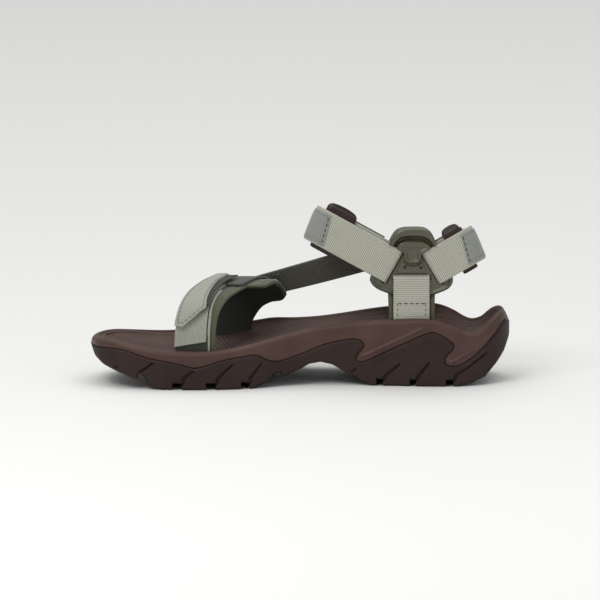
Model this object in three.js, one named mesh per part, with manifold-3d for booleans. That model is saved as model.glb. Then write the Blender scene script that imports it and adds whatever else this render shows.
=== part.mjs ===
// A strappy sport sandal for the right foot.
// Millimetres, +Z up; the toe points to -X, the inner (medial) side of the foot faces -Y.
// The sole is a moulded outsole cup with a foam midsole core and a moulded footbed on top.
// One strap crosses the forefoot; two webbing loops close the ankle collar between two moulded stays.
import * as THREE from 'three';
import { mergeVertices } from 'three/addons/utils/BufferGeometryUtils.js';
import Module from 'manifold-3d';

const wasm = await Module();
wasm.setup();

// ---------------------------------------------------------------- driving sizes
const gap = 0.3;                 // clearance between neighbouring pieces
const soleLength = 291;
const ballWidth = 108;
const heelWidth = 78;
const rimWidth = 6;              // width of the raised midsole rim round the footbed
const cupWall = 3.6;             // thickness of the outsole where it wraps up the sides
const cupFloor = 6.5;            // outsole thickness above the ground plane
const treadDepth = 4.4;
const footbedThickness = 5;
const reach = 400;               // long enough to pass right through the shoe

const webbing = 1.6;             // strap thickness
const pile = 0.8;                // hook or loop strip thickness
const strapWidth = 25;

// collar: distances are measured outward from the middle plane of the ankle opening
const collarHalf = 26.1;         // middle of the inner webbing
const padThickness = 4;
const padHeight = 30;
const lateralDrop = 8;           // the lateral stay sits this much lower than the medial one
const stayPlate = 1.9;           // thickness of the stay's slotted plate
const stayRaised = 5.6;          // thickness of its raised middle
const bendRadius = 6.1;          // plan radius of the loops at the instep and the heel

// forefoot strap
const archLean = 0.49;           // how far it runs back toward the heel per mm across the foot
const archCentre = -50.8;        // its middle over the centre line of the foot
const linerThickness = 3;

const instep = {
  name: 'instep', facing: -1, slope: THREE.MathUtils.degToRad(28.9),
  x: 62.5, z: 83.4, length: 57, keeper: 20, wing: 8.6, patch: 6,
};
const heel = {
  name: 'heel', facing: 1, slope: THREE.MathUtils.degToRad(30),
  x: 93, z: 82.4, length: 29.1, keeper: 11, wing: 8.2, patch: 4,
};

// ---------------------------------------------------------------- materials
const finishes = {
  outsole: { color: 0x3f302d, roughness: 0.75, metalness: 0 },
  midsole: { color: 0x5d4c46, roughness: 0.7, metalness: 0 },
  footbed: { color: 0x57473f, roughness: 0.8, metalness: 0 },
  shank: { color: 0x2b2b2b, roughness: 0.5, metalness: 0 },
  foam: { color: 0x8a8a80, roughness: 0.9, metalness: 0 },
  webbing: { color: 0x8f8f82, roughness: 0.9, metalness: 0 },
  overlay: { color: 0xa2a297, roughness: 0.7, metalness: 0 },
  patch: { color: 0x7d8177, roughness: 0.6, metalness: 0 },
  liner: { color: 0x5b5a47, roughness: 0.95, metalness: 0 },
  pile: { color: 0x33342b, roughness: 1, metalness: 0 },
  dark: { color: 0x3c3c36, roughness: 0.95, metalness: 0 },
  stay: { color: 0x57573f, roughness: 0.5, metalness: 0 },
  keeper: { color: 0x3b312b, roughness: 0.45, metalness: 0 },
};

const sandal = new THREE.Group();
sandal.name = 'sport_sandal';

function addPiece(name, geometry, finish) {
  const mesh = new THREE.Mesh(geometry, new THREE.MeshStandardMaterial(finishes[finish]));
  mesh.name = name;
  sandal.add(mesh);
}

// ---------------------------------------------------------------- solids
function weld(geometry) {
  const bare = geometry.clone();
  bare.deleteAttribute('normal');
  bare.deleteAttribute('uv');
  return mergeVertices(bare, 1e-4);
}

// turns a geometry into a solid; a mirrored placement is turned right side out first
function solid(geometry) {
  const welded = weld(geometry);
  const triVerts = new Uint32Array(welded.index.array);
  const vertProperties = new Float32Array(welded.attributes.position.array);
  if (signedVolume(vertProperties, triVerts) < 0) {
    for (let i = 0; i < triVerts.length; i += 3) {
      [triVerts[i], triVerts[i + 1]] = [triVerts[i + 1], triVerts[i]];
    }
  }
  return new wasm.Manifold(new wasm.Mesh({ numProp: 3, vertProperties, triVerts }));
}

function signedVolume(positions, triangles) {
  const a = new THREE.Vector3();
  const b = new THREE.Vector3();
  const c = new THREE.Vector3();
  let sum = 0;
  for (let i = 0; i < triangles.length; i += 3) {
    a.fromArray(positions, triangles[i] * 3);
    b.fromArray(positions, triangles[i + 1] * 3);
    c.fromArray(positions, triangles[i + 2] * 3);
    sum += a.dot(b.cross(c));
  }
  return sum;
}

function geometryOf(body) {
  const mesh = body.getMesh();
  const geometry = new THREE.BufferGeometry();
  geometry.setAttribute('position', new THREE.BufferAttribute(new Float32Array(mesh.vertProperties), 3));
  geometry.setIndex(new THREE.BufferAttribute(new Uint32Array(mesh.triVerts), 1));
  geometry.computeVertexNormals();
  return geometry;
}

const vectors = (points) => points.map(([a, b]) => new THREE.Vector2(a, b));

function extrude(points, depth, holes = []) {
  const shape = new THREE.Shape(points);
  shape.holes = holes.map((hole) => new THREE.Path(hole));
  return new THREE.ExtrudeGeometry(shape, { depth, bevelEnabled: false });
}

// a plan outline (x, y) raised from one height to another
function upright(points, low, high) {
  return solid(extrude(points, high - low).translate(0, 0, low));
}

// a side outline (x, z) carried across the shoe from y = from to y = to
function across(points, from = -reach / 2, to = reach / 2) {
  return solid(extrude(points, to - from).rotateX(Math.PI / 2).translate(0, to, 0));
}

// ---------------------------------------------------------------- lines and offsets
function smooth(points, steps, closed = false) {
  const knots = points.map(([a, b]) => new THREE.Vector3(a, b, 0));
  const curve = new THREE.CatmullRomCurve3(knots, closed, 'centripetal');
  const samples = curve.getPoints(steps).map((p) => new THREE.Vector2(p.x, p.y));
  if (closed) {
    samples.pop();
  }
  return samples;
}

// moves every point of a line sideways (to its left) by the same distance, mitred at the corners
function offsetLine(points, distance, closed = false) {
  const count = points.length;
  const side = (from, to) => new THREE.Vector2(from.y - to.y, to.x - from.x).normalize();
  return points.map((point, i) => {
    const before = closed ? points[(i + count - 1) % count] : points[Math.max(i - 1, 0)];
    const after = closed ? points[(i + 1) % count] : points[Math.min(i + 1, count - 1)];
    const first = before === point ? side(point, after) : side(before, point);
    const second = after === point ? first : side(point, after);
    const mitre = first.clone().add(second).normalize();
    return mitre.multiplyScalar(distance / mitre.dot(second)).add(point);
  });
}

// the closed outline of a strap seen edge-on, between two offsets of its line
function bandOutline(line, inner, outer) {
  return [...offsetLine(line, inner), ...offsetLine(line, outer).reverse()];
}

function heightAt(line, x) {
  const next = line.findIndex((p, i) => i > 0 && p.x >= x);
  const b = line[next < 0 ? line.length - 1 : next];
  const a = line[(next < 0 ? line.length - 1 : next) - 1];
  return a.y + (b.y - a.y) * ((x - a.x) / (b.x - a.x));
}

// ---------------------------------------------------------------- sole outlines
const halfLength = soleLength / 2;
const ballHalf = ballWidth / 2;
const heelHalf = heelWidth / 2;

// plan outline of the sole, from the toe along the medial side to the heel and back
const soleOutline = smooth([
  [-halfLength, -0.22 * ballHalf],
  [-0.95 * halfLength, -0.64 * ballHalf],
  [-0.82 * halfLength, -0.88 * ballHalf],
  [-0.62 * halfLength, -0.985 * ballHalf],
  [-0.44 * halfLength, -ballHalf],
  [-0.24 * halfLength, -0.9 * ballHalf],
  [-0.02 * halfLength, -0.93 * heelHalf],
  [0.2 * halfLength, -0.86 * heelHalf],
  [0.42 * halfLength, -0.92 * heelHalf],
  [0.62 * halfLength, -heelHalf],
  [0.8 * halfLength, -0.95 * heelHalf],
  [0.94 * halfLength, -0.62 * heelHalf],
  [halfLength, 0],
  [0.94 * halfLength, 0.62 * heelHalf],
  [0.8 * halfLength, 0.95 * heelHalf],
  [0.6 * halfLength, 1.02 * heelHalf],
  [0.4 * halfLength, 1.04 * heelHalf],
  [0.2 * halfLength, 0.83 * ballHalf],
  [0, 0.92 * ballHalf],
  [-0.2 * halfLength, 0.985 * ballHalf],
  [-0.38 * halfLength, ballHalf],
  [-0.58 * halfLength, 0.95 * ballHalf],
  [-0.77 * halfLength, 0.78 * ballHalf],
  [-0.91 * halfLength, 0.48 * ballHalf],
  [-0.98 * halfLength, 0.12 * ballHalf],
], 100, true);

const insetOutline = (distance) => offsetLine(soleOutline, distance, true);

// the side lines are drawn on a sole this long, and stretch with it
const drawnLength = 291;
const lengthwise = (points) => points.map(([x, z]) => [(x * soleLength) / drawnLength, z]);
const toeEnd = -drawnLength / 2;
const heelEnd = drawnLength / 2;

// side views of the rim, toe to heel: the medial side, then the lateral side with its lower arch
const rimLine = smooth(lengthwise([
  [toeEnd - 1, 33], [-129, 34], [-113, 30.7], [-100, 28.2], [-85, 27], [-58, 27], [-33, 30.9],
  [-10, 36.4], [6, 41.3], [27, 44.7], [60, 46.6], [92, 46.3], [104, 42.2], [115, 37.2],
  [126, 40.5], [134, 47], [140, 49], [heelEnd + 1, 43],
]), 44);
const lateralRimLine = smooth(lengthwise([
  [toeEnd - 1, 32], [-140, 30.6], [-112, 27.4], [-89, 26.3], [-60, 28.5], [-32, 33], [-19, 35], [-2, 35],
  [12, 35.8], [27, 38], [60, 44.2], [94, 47.4], [107, 43.3], [115, 38.6], [120, 36.8], [126, 38.5],
  [131, 43.3], [136, 47.5], [140, 49], [heelEnd + 1, 43],
]), 44);

// side view of the footbed's top, toe to heel
const footbedLine = smooth(lengthwise([
  [toeEnd - 1, 31], [-125, 29.5], [-105, 26], [-80, 23.6], [-52, 24], [-25, 27.5], [0, 31.5],
  [30, 34], [60, 34], [90, 33], [115, 32], [128, 34], [136, 38], [heelEnd + 1, 42],
]), 34);

// side view of the underside: toe spring, flat forefoot, raised arch, flat heel, rounded heel
const underside = vectors(lengthwise([
  [toeEnd, 25], [-142.5, 19.5], [-136, 15], [-126, 11], [-113.5, 6.8], [-104, 2.4], [-96, 0],
  [-32, 0], [-26, 3], [-14, 6.6], [0, 11.5], [6, 15], [14, 16.4], [22, 14.6], [30, 10], [41, 4], [50, 0],
  [109, 0], [118, 1.6], [128, 5.6], [136, 14], [141.5, 21], [heelEnd, 30],
]));

// the wavy parting line between outsole and midsole, seen from the side
const waveLine = vectors(lengthwise([
  [toeEnd - 2, 26.2], [-125, 27], [-105, 21.6], [-85, 18], [-73, 15.3], [-53, 20.3], [-36, 23], [-29, 23],
  [-24.4, 20.2], [-16.8, 17.8], [-1, 21.6], [16, 28.3], [28, 31.2], [38, 32.2], [42, 31], [43.7, 28.1],
  [39.2, 21.4], [38.5, 17.6], [41.8, 16.2], [65, 26.6], [86, 36.2], [91, 37.6], [96, 36.3], [106, 29],
  [105.7, 26.6], [99.8, 19.3], [100.8, 15.4], [106, 13.9], [113, 15.8], [127, 25.9], [137, 36.8],
  [141.7, 42.4], [heelEnd + 2, 46],
]));

const sky = 200;

// everything above a side line
function above(line) {
  const first = line[0];
  const last = line[line.length - 1];
  return across([...line, new THREE.Vector2(last.x, sky), new THREE.Vector2(first.x, sky)]);
}

// everything below a side line
function below(line) {
  const first = line[0];
  const last = line[line.length - 1];
  return across([new THREE.Vector2(first.x, -sky), new THREE.Vector2(last.x, -sky), ...[...line].reverse()]);
}

// everything below a surface that runs straight across from the medial to the lateral side line
function belowBetween(medial, lateral) {
  const margin = 6;
  const first = medial[0];
  const last = medial[medial.length - 1];
  const outline = [new THREE.Vector2(first.x, -sky), new THREE.Vector2(last.x, -sky), ...[...medial].reverse()];
  const block = extrude(outline, ballWidth + 2 * margin).rotateX(Math.PI / 2).translate(0, ballHalf + margin, 0);
  const place = block.attributes.position;
  for (let i = 0; i < place.count; i += 1) {
    const x = place.getX(i);
    if (place.getY(i) > 0 && place.getZ(i) > 1 - sky) {
      place.setZ(i, place.getZ(i) + heightAt(lateral, x) - heightAt(medial, x));
    }
  }
  return solid(block);
}

// the same underside moved up into the sole, kept inside its ends
function floorLine(rise) {
  return [
    new THREE.Vector2(-halfLength - 1, underside[0].y + rise),
    ...offsetLine(underside, rise).filter((p, i, all) => i > 0 && i < all.length - 1),
    new THREE.Vector2(halfLength + 1, underside[underside.length - 1].y + rise),
  ];
}

// ---------------------------------------------------------------- strap placement
// a point on a collar loop's wall: u away from the stay along the strap, v up across its width
function onLoop(unit, u, v) {
  const cos = Math.cos(unit.slope);
  const sin = Math.sin(unit.slope);
  return new THREE.Vector2(unit.x + unit.facing * (u * cos - v * sin), unit.z + u * sin + v * cos);
}

// carries loop coordinates (u, y, v) to the shoe, lower on the lateral side
function loopPlacement(unit) {
  const cos = Math.cos(unit.slope);
  const sin = Math.sin(unit.slope);
  const place = new THREE.Matrix4().makeBasis(
    new THREE.Vector3(unit.facing * cos, 0, sin),
    new THREE.Vector3(0, 1, 0),
    new THREE.Vector3(-unit.facing * sin, 0, cos),
  );
  place.setPosition(unit.x, 0, unit.z);
  const drop = new THREE.Matrix4();
  drop.elements[6] = -lateralDrop / (2 * collarHalf);
  drop.elements[14] = -lateralDrop / 2;
  return drop.multiply(place);
}

// a strap piece of a loop: its line seen from above the strap's edge, two offsets and a width
function loopBand(unit, line, inner, outer, width) {
  const band = extrude(bandOutline(line, inner, outer), width).translate(0, 0, -width / 2);
  return solid(band.applyMatrix4(loopPlacement(unit)));
}

// the loop's line from the lateral stay round the bend and back to the medial stay
function loopLine(unit, start, end) {
  const turn = unit.length - bendRadius;
  const path = new THREE.Path();
  path.moveTo(start, collarHalf);
  path.lineTo(turn, collarHalf);
  path.absarc(turn, collarHalf - bendRadius, bendRadius, Math.PI / 2, 0, true);
  path.absarc(turn, bendRadius - collarHalf, bendRadius, 0, -Math.PI / 2, true);
  path.lineTo(end, -collarHalf);
  return path.getPoints(5);
}

// the medial part of that line, starting on the face of the bend
function tabLine(unit, tail, end) {
  const turn = unit.length - bendRadius;
  const path = new THREE.Path();
  path.moveTo(unit.length, bendRadius - collarHalf + tail);
  path.absarc(turn, bendRadius - collarHalf, bendRadius, 0, -Math.PI / 2, true);
  path.lineTo(end, -collarHalf);
  return path.getPoints(5);
}

const foldRadius = (webbing + gap * 2 + stayPlate) / 2;
const foldCentre = collarHalf + foldRadius;
const outerLeg = collarHalf + 2 * foldRadius;
const plateInner = collarHalf + webbing / 2 + gap;
const plateOuter = plateInner + stayPlate;

// webbing turned round a stay's bar: points along the turn, measured past the bar and outward
function barFold(angle, steps) {
  return Array.from({ length: steps }, (_, i) => {
    const a = (angle * (i + 1)) / steps;
    return new THREE.Vector2(foldRadius * Math.sin(a), foldCentre - foldRadius * Math.cos(a));
  });
}

// ---------------------------------------------------------------- sole
const tall = 70;                 // higher than the sole
const treadGrooves = lengthwise([
  [-88.8, 6.9], [-65.3, 7], [-41, 6.2], [52.4, 4.8], [75.6, 4.4], [100.8, 5.3],
]);                              // where each groove starts and how wide it is
const sideGrooves = [
  [-111, 12, -101.5, 19], [-82, 7.6, -73, 14.5], [-58, 7.4, -47.5, 17.5], [-35, 6.7, -28.6, 16.8],
  [55, 5.9, 68, 15.7], [78.7, 5.4, 88.2, 16.6], [106, 8, 129, 21.8],
];
const draft = 0.6;               // how much a groove narrows toward its root
const sideGrooveWidth = 1.6;
const sideGrooveDepth = 1.3;

const shift = (line, rise) => line.map((p) => new THREE.Vector2(p.x, p.y + rise));

function soleBlock() {
  return upright(soleOutline, -1, tall).intersect(above(floorLine(0))).intersect(belowBetween(rimLine, lateralRimLine));
}

function treadCuts() {
  const boxes = treadGrooves.map(([from, wide]) => across(vectors([
    [from, -2], [from + wide, -2], [from + wide - draft, treadDepth], [from + draft, treadDepth],
  ])));
  const core = upright(insetOutline(sideGrooveDepth), -2, tall);
  const slits = sideGrooves.map(([x0, z0, x1, z1]) => {
    const line = vectors(lengthwise([[x0, z0], [x1, z1]]));
    return across(bandOutline(line, -sideGrooveWidth / 2, sideGrooveWidth / 2).reverse()).subtract(core);
  });
  return [...boxes, ...slits];
}

function outsole() {
  const cavity = upright(insetOutline(cupWall), -1, tall).intersect(above(floorLine(cupFloor)));
  return treadCuts().reduce(
    (body, cut) => body.subtract(cut),
    soleBlock().intersect(below(waveLine)).subtract(cavity),
  );
}

const footbedFloor = cupFloor + 2;   // midsole foam stays between the outsole and the footbed
const recessFloor = shift(footbedLine, -footbedThickness - gap);

// the nylon shank and the heel pad lie in pockets of the midsole under the footbed
const shank = { from: -38, to: 58, halfWidth: 12, thickness: 2.2 };
const heelPad = { x: 92, radius: collarHalf - webbing / 2 - 3.3, thickness: 7 };   // clear of the stays' webbing

function shankBody(grow) {
  const { from, to, halfWidth, thickness } = shank;
  const plan = vectors([
    [from - grow, -halfWidth - grow], [to + grow, -halfWidth - grow],
    [to + grow, halfWidth + grow], [from - grow, halfWidth + grow],
  ]);
  return upright(plan, 0, tall).intersect(above(shift(recessFloor, -thickness - grow)));
}

function heelPadBody(grow) {
  const disc = new THREE.CylinderGeometry(heelPad.radius + grow, heelPad.radius + grow, tall, 40);
  return solid(disc.rotateX(Math.PI / 2).translate(heelPad.x, 0, tall / 2))
    .intersect(above(shift(recessFloor, -heelPad.thickness - grow)));
}

function midsole(pockets) {
  const core = upright(insetOutline(cupWall + gap), -1, tall).intersect(above(floorLine(cupFloor + gap)));
  const recess = upright(insetOutline(rimWidth), -1, tall).intersect(above(recessFloor))
    .intersect(above(floorLine(footbedFloor - gap)));
  const cuts = [recess, shankBody(gap), heelPadBody(gap), ...pockets];
  return cuts.reduce(
    (body, cut) => body.subtract(cut),
    soleBlock().intersect(above(offsetLine(waveLine, gap)).add(core)),
  );
}

const heelDish = { x: 92, z: 41.5, length: 50, width: 27, depth: 11 };

function footbed(pockets) {
  const { x, z, length, width, depth } = heelDish;
  const dish = solid(new THREE.SphereGeometry(1, 28, 14).scale(length, width, depth).translate(x, 0, z));
  const plate = upright(insetOutline(rimWidth + gap), -1, tall)
    .intersect(above(shift(footbedLine, -footbedThickness)))
    .intersect(above(floorLine(footbedFloor)))
    .intersect(below(footbedLine));
  return [dish, ...pockets].reduce((body, cut) => body.subtract(cut), plate);
}

// ---------------------------------------------------------------- forefoot strap
const strapFoot = 14;            // height of the strap ends set into the sole at the forefoot
const archLine = smooth([
  [-41.5, strapFoot], [-41.5, 28], [-40.8, 40], [-36, 51], [-26, 57.8], [-12, 61], [4, 62.6],
  [20, 63.4], [31, 61], [38.5, 53], [41.6, 42], [42.5, 30], [42.5, strapFoot],
], 48);
const upTo = (y) => archLine.filter((p) => p.y >= strapFoot && p.x <= y);
const onward = (y) => archLine.filter((p) => p.x >= y);
const sideways = new THREE.Matrix4().makeBasis(
  new THREE.Vector3(0, 1, 0),
  new THREE.Vector3(0, 0, 1),
  new THREE.Vector3(1, 0, 0),
);
const lean = new THREE.Matrix4();
lean.elements[4] = archLean;

// an outline seen from the front (y, z), carried along the shoe
function along(points, from, to) {
  return extrude(points, to - from).translate(0, 0, from).applyMatrix4(sideways);
}

function archBand(line, inner, outer, from, to) {
  const band = along(bandOutline(line, inner, outer), archCentre + from, archCentre + to);
  return solid(band.applyMatrix4(lean));
}

const layer = (n) => linerThickness + gap + n * (gap + webbing);   // inner face of the n-th strap layer
const flapInner = layer(1) + 2 * pile + gap;
const half = strapWidth / 2;
const flapRoot = 10;             // how far across the foot the flap is hinged
const webbingTop = -4;
const stripStart = 56;           // height where the hook and loop strips begin
const flapStart = 40;
const flapCut = vectors([[-130, 27], [-88, 44.5], [-65, 54], [-58, 56], [10, 58]]);   // its slanted lower end
const webbingEnd = 28;           // height of the ribbed webbing's cut end

const lateralWing = vectors([
  [-66, 80], [-62, 0], [-24, 0], [-22, 36], [-18, 44], [-11, 47.5], [-9, 52], [-11.5, 59], [-16, 63.5], [-24, 80],
]);

function forefootStrap() {
  const rising = (low, y) => upTo(y).filter((p) => p.y >= low);
  addPiece('forefoot_medial_liner', geometryOf(archBand(upTo(0), 0, linerThickness, -half + 1, half + 3)), 'liner');
  addPiece('forefoot_lateral_liner', geometryOf(
    archBand(onward(1), 0, linerThickness, -half - 2, half + 12).intersect(across(lateralWing)),
  ), 'liner');
  addPiece('forefoot_medial_webbing', geometryOf(
    archBand(rising(webbingEnd, webbingTop), layer(0), layer(0) + webbing, -half, half),
  ), 'webbing');
  addPiece('forefoot_lateral_webbing', geometryOf(
    archBand(onward(webbingTop + 2), layer(0), layer(0) + webbing, -half, half),
  ), 'dark');
  const strip = rising(stripStart, -8);
  addPiece('forefoot_loop_strip', geometryOf(archBand(strip, layer(1), layer(1) + pile, -half + 2, half - 2)), 'pile');
  addPiece('forefoot_flap_hook', geometryOf(
    archBand(strip, layer(1) + pile + gap, layer(1) + 2 * pile + gap, -half + 2, half - 2),
  ), 'pile');
  addPiece('forefoot_flap', geometryOf(
    archBand(rising(flapStart, flapRoot), flapInner + gap, flapInner + gap + webbing, -half, half)
      .intersect(above(flapCut)),
  ), 'overlay');
}

// the pockets that take the strap ends, in the midsole and the footbed
const collarFoot = 24;           // height of the stays' webbing ends
const backingHalf = 16;
const baseCentre = 77;

function pockets() {
  const step = gap;
  const box = (side, near, far) => vectors([
    [side * near, strapFoot - step], [side * far, strapFoot - step], [side * far, tall], [side * near, tall],
  ]);
  const place = (points, from, to) => solid(along(points, from, to).applyMatrix4(lean));
  const strapOuter = layer(0) + webbing + step;
  const medial = place(box(-1, 41.5 - step, 41.5 + strapOuter), archCentre - half - 2, archCentre + half + 3.6);
  const lateral = place(box(1, 42.5 - step, 42.5 + strapOuter), archCentre - half - 2.6, archCentre + half + 8);
  const stays = [-1, 1].map((side) => solid(along(vectors([
    [side * (collarHalf - webbing / 2 - step), collarFoot - step],
    [side * (outerLeg + webbing / 2 + step), collarFoot - step],
    [side * (outerLeg + webbing / 2 + step), tall],
    [side * (collarHalf - webbing / 2 - step), tall],
  ]), baseCentre - backingHalf - step, baseCentre + backingHalf + step)));
  return [medial, lateral, ...stays];
}

// ---------------------------------------------------------------- stays and the webbing that carries them
const baseBar = 73.6;            // top of the bar the base webbing turns over
const stayFoot = 62;
const slotDepth = foldRadius + webbing / 2 + gap + 0.15;
const slotHalf = half + 0.7;

const archTop = [
  [61.9, 101.5], [64.1, 105.4], [67.1, 108.9], [71.5, 110.5], [78, 110.9], [85.6, 110.5], [88.8, 109.1],
  [91.6, 105.4], [93.7, 99.6],
];
const stayOutline = smooth([
  ...archTop, [100, 86], [105.8, 74], [105.2, 70.4], [102.8, 67.3], [97.8, 64.8], [90, stayFoot + 0.4],
  [76.5, stayFoot], [62, stayFoot + 1.6], [53.4, 66.9], [50.3, 69.4], [48.6, 72.5], [49.4, 76], [56, 89],
], 72, true);

function slotOutline(unit) {
  return [
    onLoop(unit, 0, -slotHalf), onLoop(unit, 0, slotHalf),
    onLoop(unit, -slotDepth, slotHalf), onLoop(unit, -slotDepth, -slotHalf),
  ];
}

// where the line behind a loop's slot reaches a given height
function behindSlot(unit, z) {
  const u = -slotDepth - 0.4;
  return onLoop(unit, u, (z - unit.z - u * Math.sin(unit.slope)) / Math.cos(unit.slope));
}

function stayBody(side) {
  const spread = (outline, near, far) => (side < 0
    ? across(outline, -far, -near)
    : across(outline, near, far));
  const edge = half + 0.9;
  const back = -slotDepth - 0.4;
  const raised = [
    onLoop(instep, instep.wing, edge), ...vectors(archTop), onLoop(heel, heel.wing, edge),
    onLoop(heel, back, edge), behindSlot(heel, baseBar + slotDepth + 0.8),
    behindSlot(instep, baseBar + slotDepth + 0.8), onLoop(instep, back, edge),
  ];
  const baseSlot = vectors([
    [baseCentre - half - 0.5, baseBar], [baseCentre + half + 0.5, baseBar],
    [baseCentre + half + 0.5, baseBar + slotDepth], [baseCentre - half - 0.5, baseBar + slotDepth],
  ]);
  const dimples = [[72.5, 82.6], [83.6, 82.2]].map(([x, z]) => solid(
    new THREE.CylinderGeometry(1.1, 1.1, 2, 16).translate(x, side * (plateInner + stayRaised), z),
  ));
  const cuts = [slotOutline(instep), slotOutline(heel), baseSlot]
    .map((outline) => spread(outline, plateInner - 1, plateInner + stayRaised + 1));
  const whole = spread(stayOutline, plateInner, plateOuter).add(spread(raised, plateInner + 0.2, plateInner + stayRaised));
  return [...cuts, ...dimples].reduce((body, cut) => body.subtract(cut), whole);
}

function baseWebbing(side, drop) {
  const bar = baseBar - drop;
  const leg = barFold(Math.PI, 8).map((p) => new THREE.Vector2(side * p.y, bar + p.x));
  const line = [
    new THREE.Vector2(side * collarHalf, collarFoot), new THREE.Vector2(side * collarHalf, bar),
    ...leg, new THREE.Vector2(side * outerLeg, collarFoot),
  ];
  const outline = bandOutline(line, -webbing / 2, webbing / 2);
  return solid(along(outline, baseCentre - half, baseCentre + half));
}

function stays() {
  for (const [name, side, drop] of [['medial', -1, 0], ['lateral', 1, lateralDrop]]) {
    addPiece(`${name}_stay`, geometryOf(stayBody(side).translate([0, 0, -drop])), 'stay');
    addPiece(`${name}_base_webbing`, geometryOf(baseWebbing(side, drop)), 'webbing');
    const backing = vectors([
      [side * plateInner, collarFoot], [side * plateOuter, collarFoot],
      [side * plateOuter, stayFoot - drop - gap], [side * plateInner, stayFoot - drop - gap],
    ]);
    addPiece(`${name}_base_backing`, geometryOf(
      solid(along(backing, baseCentre - backingHalf, baseCentre + backingHalf)),
    ), 'liner');
  }
}

// ---------------------------------------------------------------- collar loops
const tabTail = 16;              // how far the outer layer runs on round the bend
const lateralLeg = 16;           // turned-back webbing on the lateral side
const patchThickness = 1.2;
const keeperWall = 1.9;
const padStart = 9;

function innerWebbing(unit) {
  const lateralFold = barFold(Math.PI, 8).reverse().map((p) => new THREE.Vector2(-p.x, p.y));
  const medialFold = barFold(0.75 * Math.PI, 6).map((p) => new THREE.Vector2(-p.x, -p.y));
  const line = [
    new THREE.Vector2(lateralLeg, outerLeg), ...lateralFold,
    ...loopLine(unit, 0, 0), ...medialFold,
  ];
  return loopBand(unit, line, -webbing / 2, webbing / 2, strapWidth);
}

function keeperRing(unit) {
  const ring = (grow) => {
    const low = -(collarHalf + webbing / 2 + gap + grow);
    const high = -(collarHalf - webbing / 2 - 2 * gap - padThickness - grow);
    const rise = padHeight / 2 + gap + grow;
    const corner = 1 + grow;
    const shape = new THREE.Path();
    shape.moveTo(low + corner, -rise);
    shape.lineTo(high - corner, -rise);
    shape.absarc(high - corner, corner - rise, corner, -Math.PI / 2, 0, false);
    shape.absarc(high - corner, rise - corner, corner, 0, Math.PI / 2, false);
    shape.absarc(low + corner, rise - corner, corner, Math.PI / 2, Math.PI, false);
    shape.absarc(low + corner, corner - rise, corner, Math.PI, 1.5 * Math.PI, false);
    const points = shape.getPoints(5);
    points.pop();
    return points;
  };
  const start = unit.length - bendRadius - unit.keeper;
  const body = extrude(ring(keeperWall), unit.keeper, [ring(0)]).translate(0, 0, start);
  return solid(body.applyMatrix4(sideways).applyMatrix4(loopPlacement(unit)));
}

function collarLoop(unit) {
  const { name } = unit;
  const padOuter = -webbing / 2 - gap;
  const pileInner = webbing / 2 + gap;
  const tabInner = outerLeg - collarHalf - webbing / 2;
  const tabOuter = tabInner + webbing;
  const face = [
    new THREE.Vector2(unit.length, bendRadius - collarHalf + tabTail - 1),
    new THREE.Vector2(unit.length, bendRadius - collarHalf),
  ];
  const turn = unit.length - bendRadius;
  addPiece(`${name}_webbing`, geometryOf(innerWebbing(unit)), 'webbing');
  addPiece(`${name}_pad`, geometryOf(
    loopBand(unit, loopLine(unit, padStart, padStart), padOuter - padThickness, padOuter, padHeight),
  ), 'liner');
  addPiece(`${name}_keeper`, geometryOf(keeperRing(unit)), 'keeper');
  addPiece(`${name}_loop_strip`, geometryOf(
    loopBand(unit, face, pileInner, pileInner + pile, strapWidth - 3),
  ), 'pile');
  addPiece(`${name}_tab_hook`, geometryOf(
    loopBand(unit, face, pileInner + pile + gap, pileInner + 2 * pile + gap, strapWidth - 3),
  ), 'pile');
  addPiece(`${name}_tab`, geometryOf(
    loopBand(unit, tabLine(unit, tabTail, 0), tabInner, tabOuter, strapWidth),
  ), 'webbing');
  addPiece(`${name}_tab_patch`, geometryOf(
    loopBand(unit, tabLine(unit, tabTail, turn - unit.patch), tabOuter + gap, tabOuter + gap + patchThickness, strapWidth),
  ), 'patch');
}

// ---------------------------------------------------------------- connector
const connector = {
  width: 20,
  front: new THREE.Vector3(-28, 45.4, 56.5),
  rear: new THREE.Vector3(56, outerLeg + webbing + gap + 0.5, 81),
  frontLean: THREE.MathUtils.degToRad(30),
};

// a flat strap from the forefoot's lateral shoulder to the lateral side of the instep loop
function connectorStrap() {
  const { width, front, rear, frontLean } = connector;
  const direction = rear.clone().sub(front).normalize();
  const box = new THREE.BoxGeometry(1, 1, 1, 12, 1, 1);
  const place = box.attributes.position;
  for (let i = 0; i < place.count; i += 1) {
    const t = place.getX(i) + 0.5;
    const tilt = frontLean * (1 - t);
    const outward = new THREE.Vector3(0, Math.cos(tilt), Math.sin(tilt));
    const up = direction.clone().cross(outward).normalize();
    const point = front.clone().lerp(rear, t);
    point.addScaledVector(outward, place.getY(i) * webbing).addScaledVector(up, place.getZ(i) * width);
    place.setXYZ(i, point.x, point.y, point.z);
  }
  return solid(box);
}

// ---------------------------------------------------------------- assembly
const cuts = pockets();
addPiece('outsole', geometryOf(outsole()), 'outsole');
addPiece('midsole', geometryOf(midsole(cuts)), 'midsole');
addPiece('footbed', geometryOf(footbed(cuts)), 'footbed');
addPiece('shank', geometryOf(shankBody(0).intersect(below(recessFloor))), 'shank');
addPiece('heel_cushion', geometryOf(heelPadBody(0).intersect(below(recessFloor))), 'foam');
forefootStrap();
stays();
[instep, heel].forEach(collarLoop);
addPiece('connector_strap', geometryOf(connectorStrap()), 'dark');

export default sandal;
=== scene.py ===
# %% [markdown]
# A strappy sport sandal for the right foot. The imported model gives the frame: its bodies, joints and
# boxes. The soft and moulded pieces are then built again in finer mesh around that frame, each riding on
# its body. Lengths in this file are written in millimetres and turned to metres when a mesh is made.

# %% load the frame
import math

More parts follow.
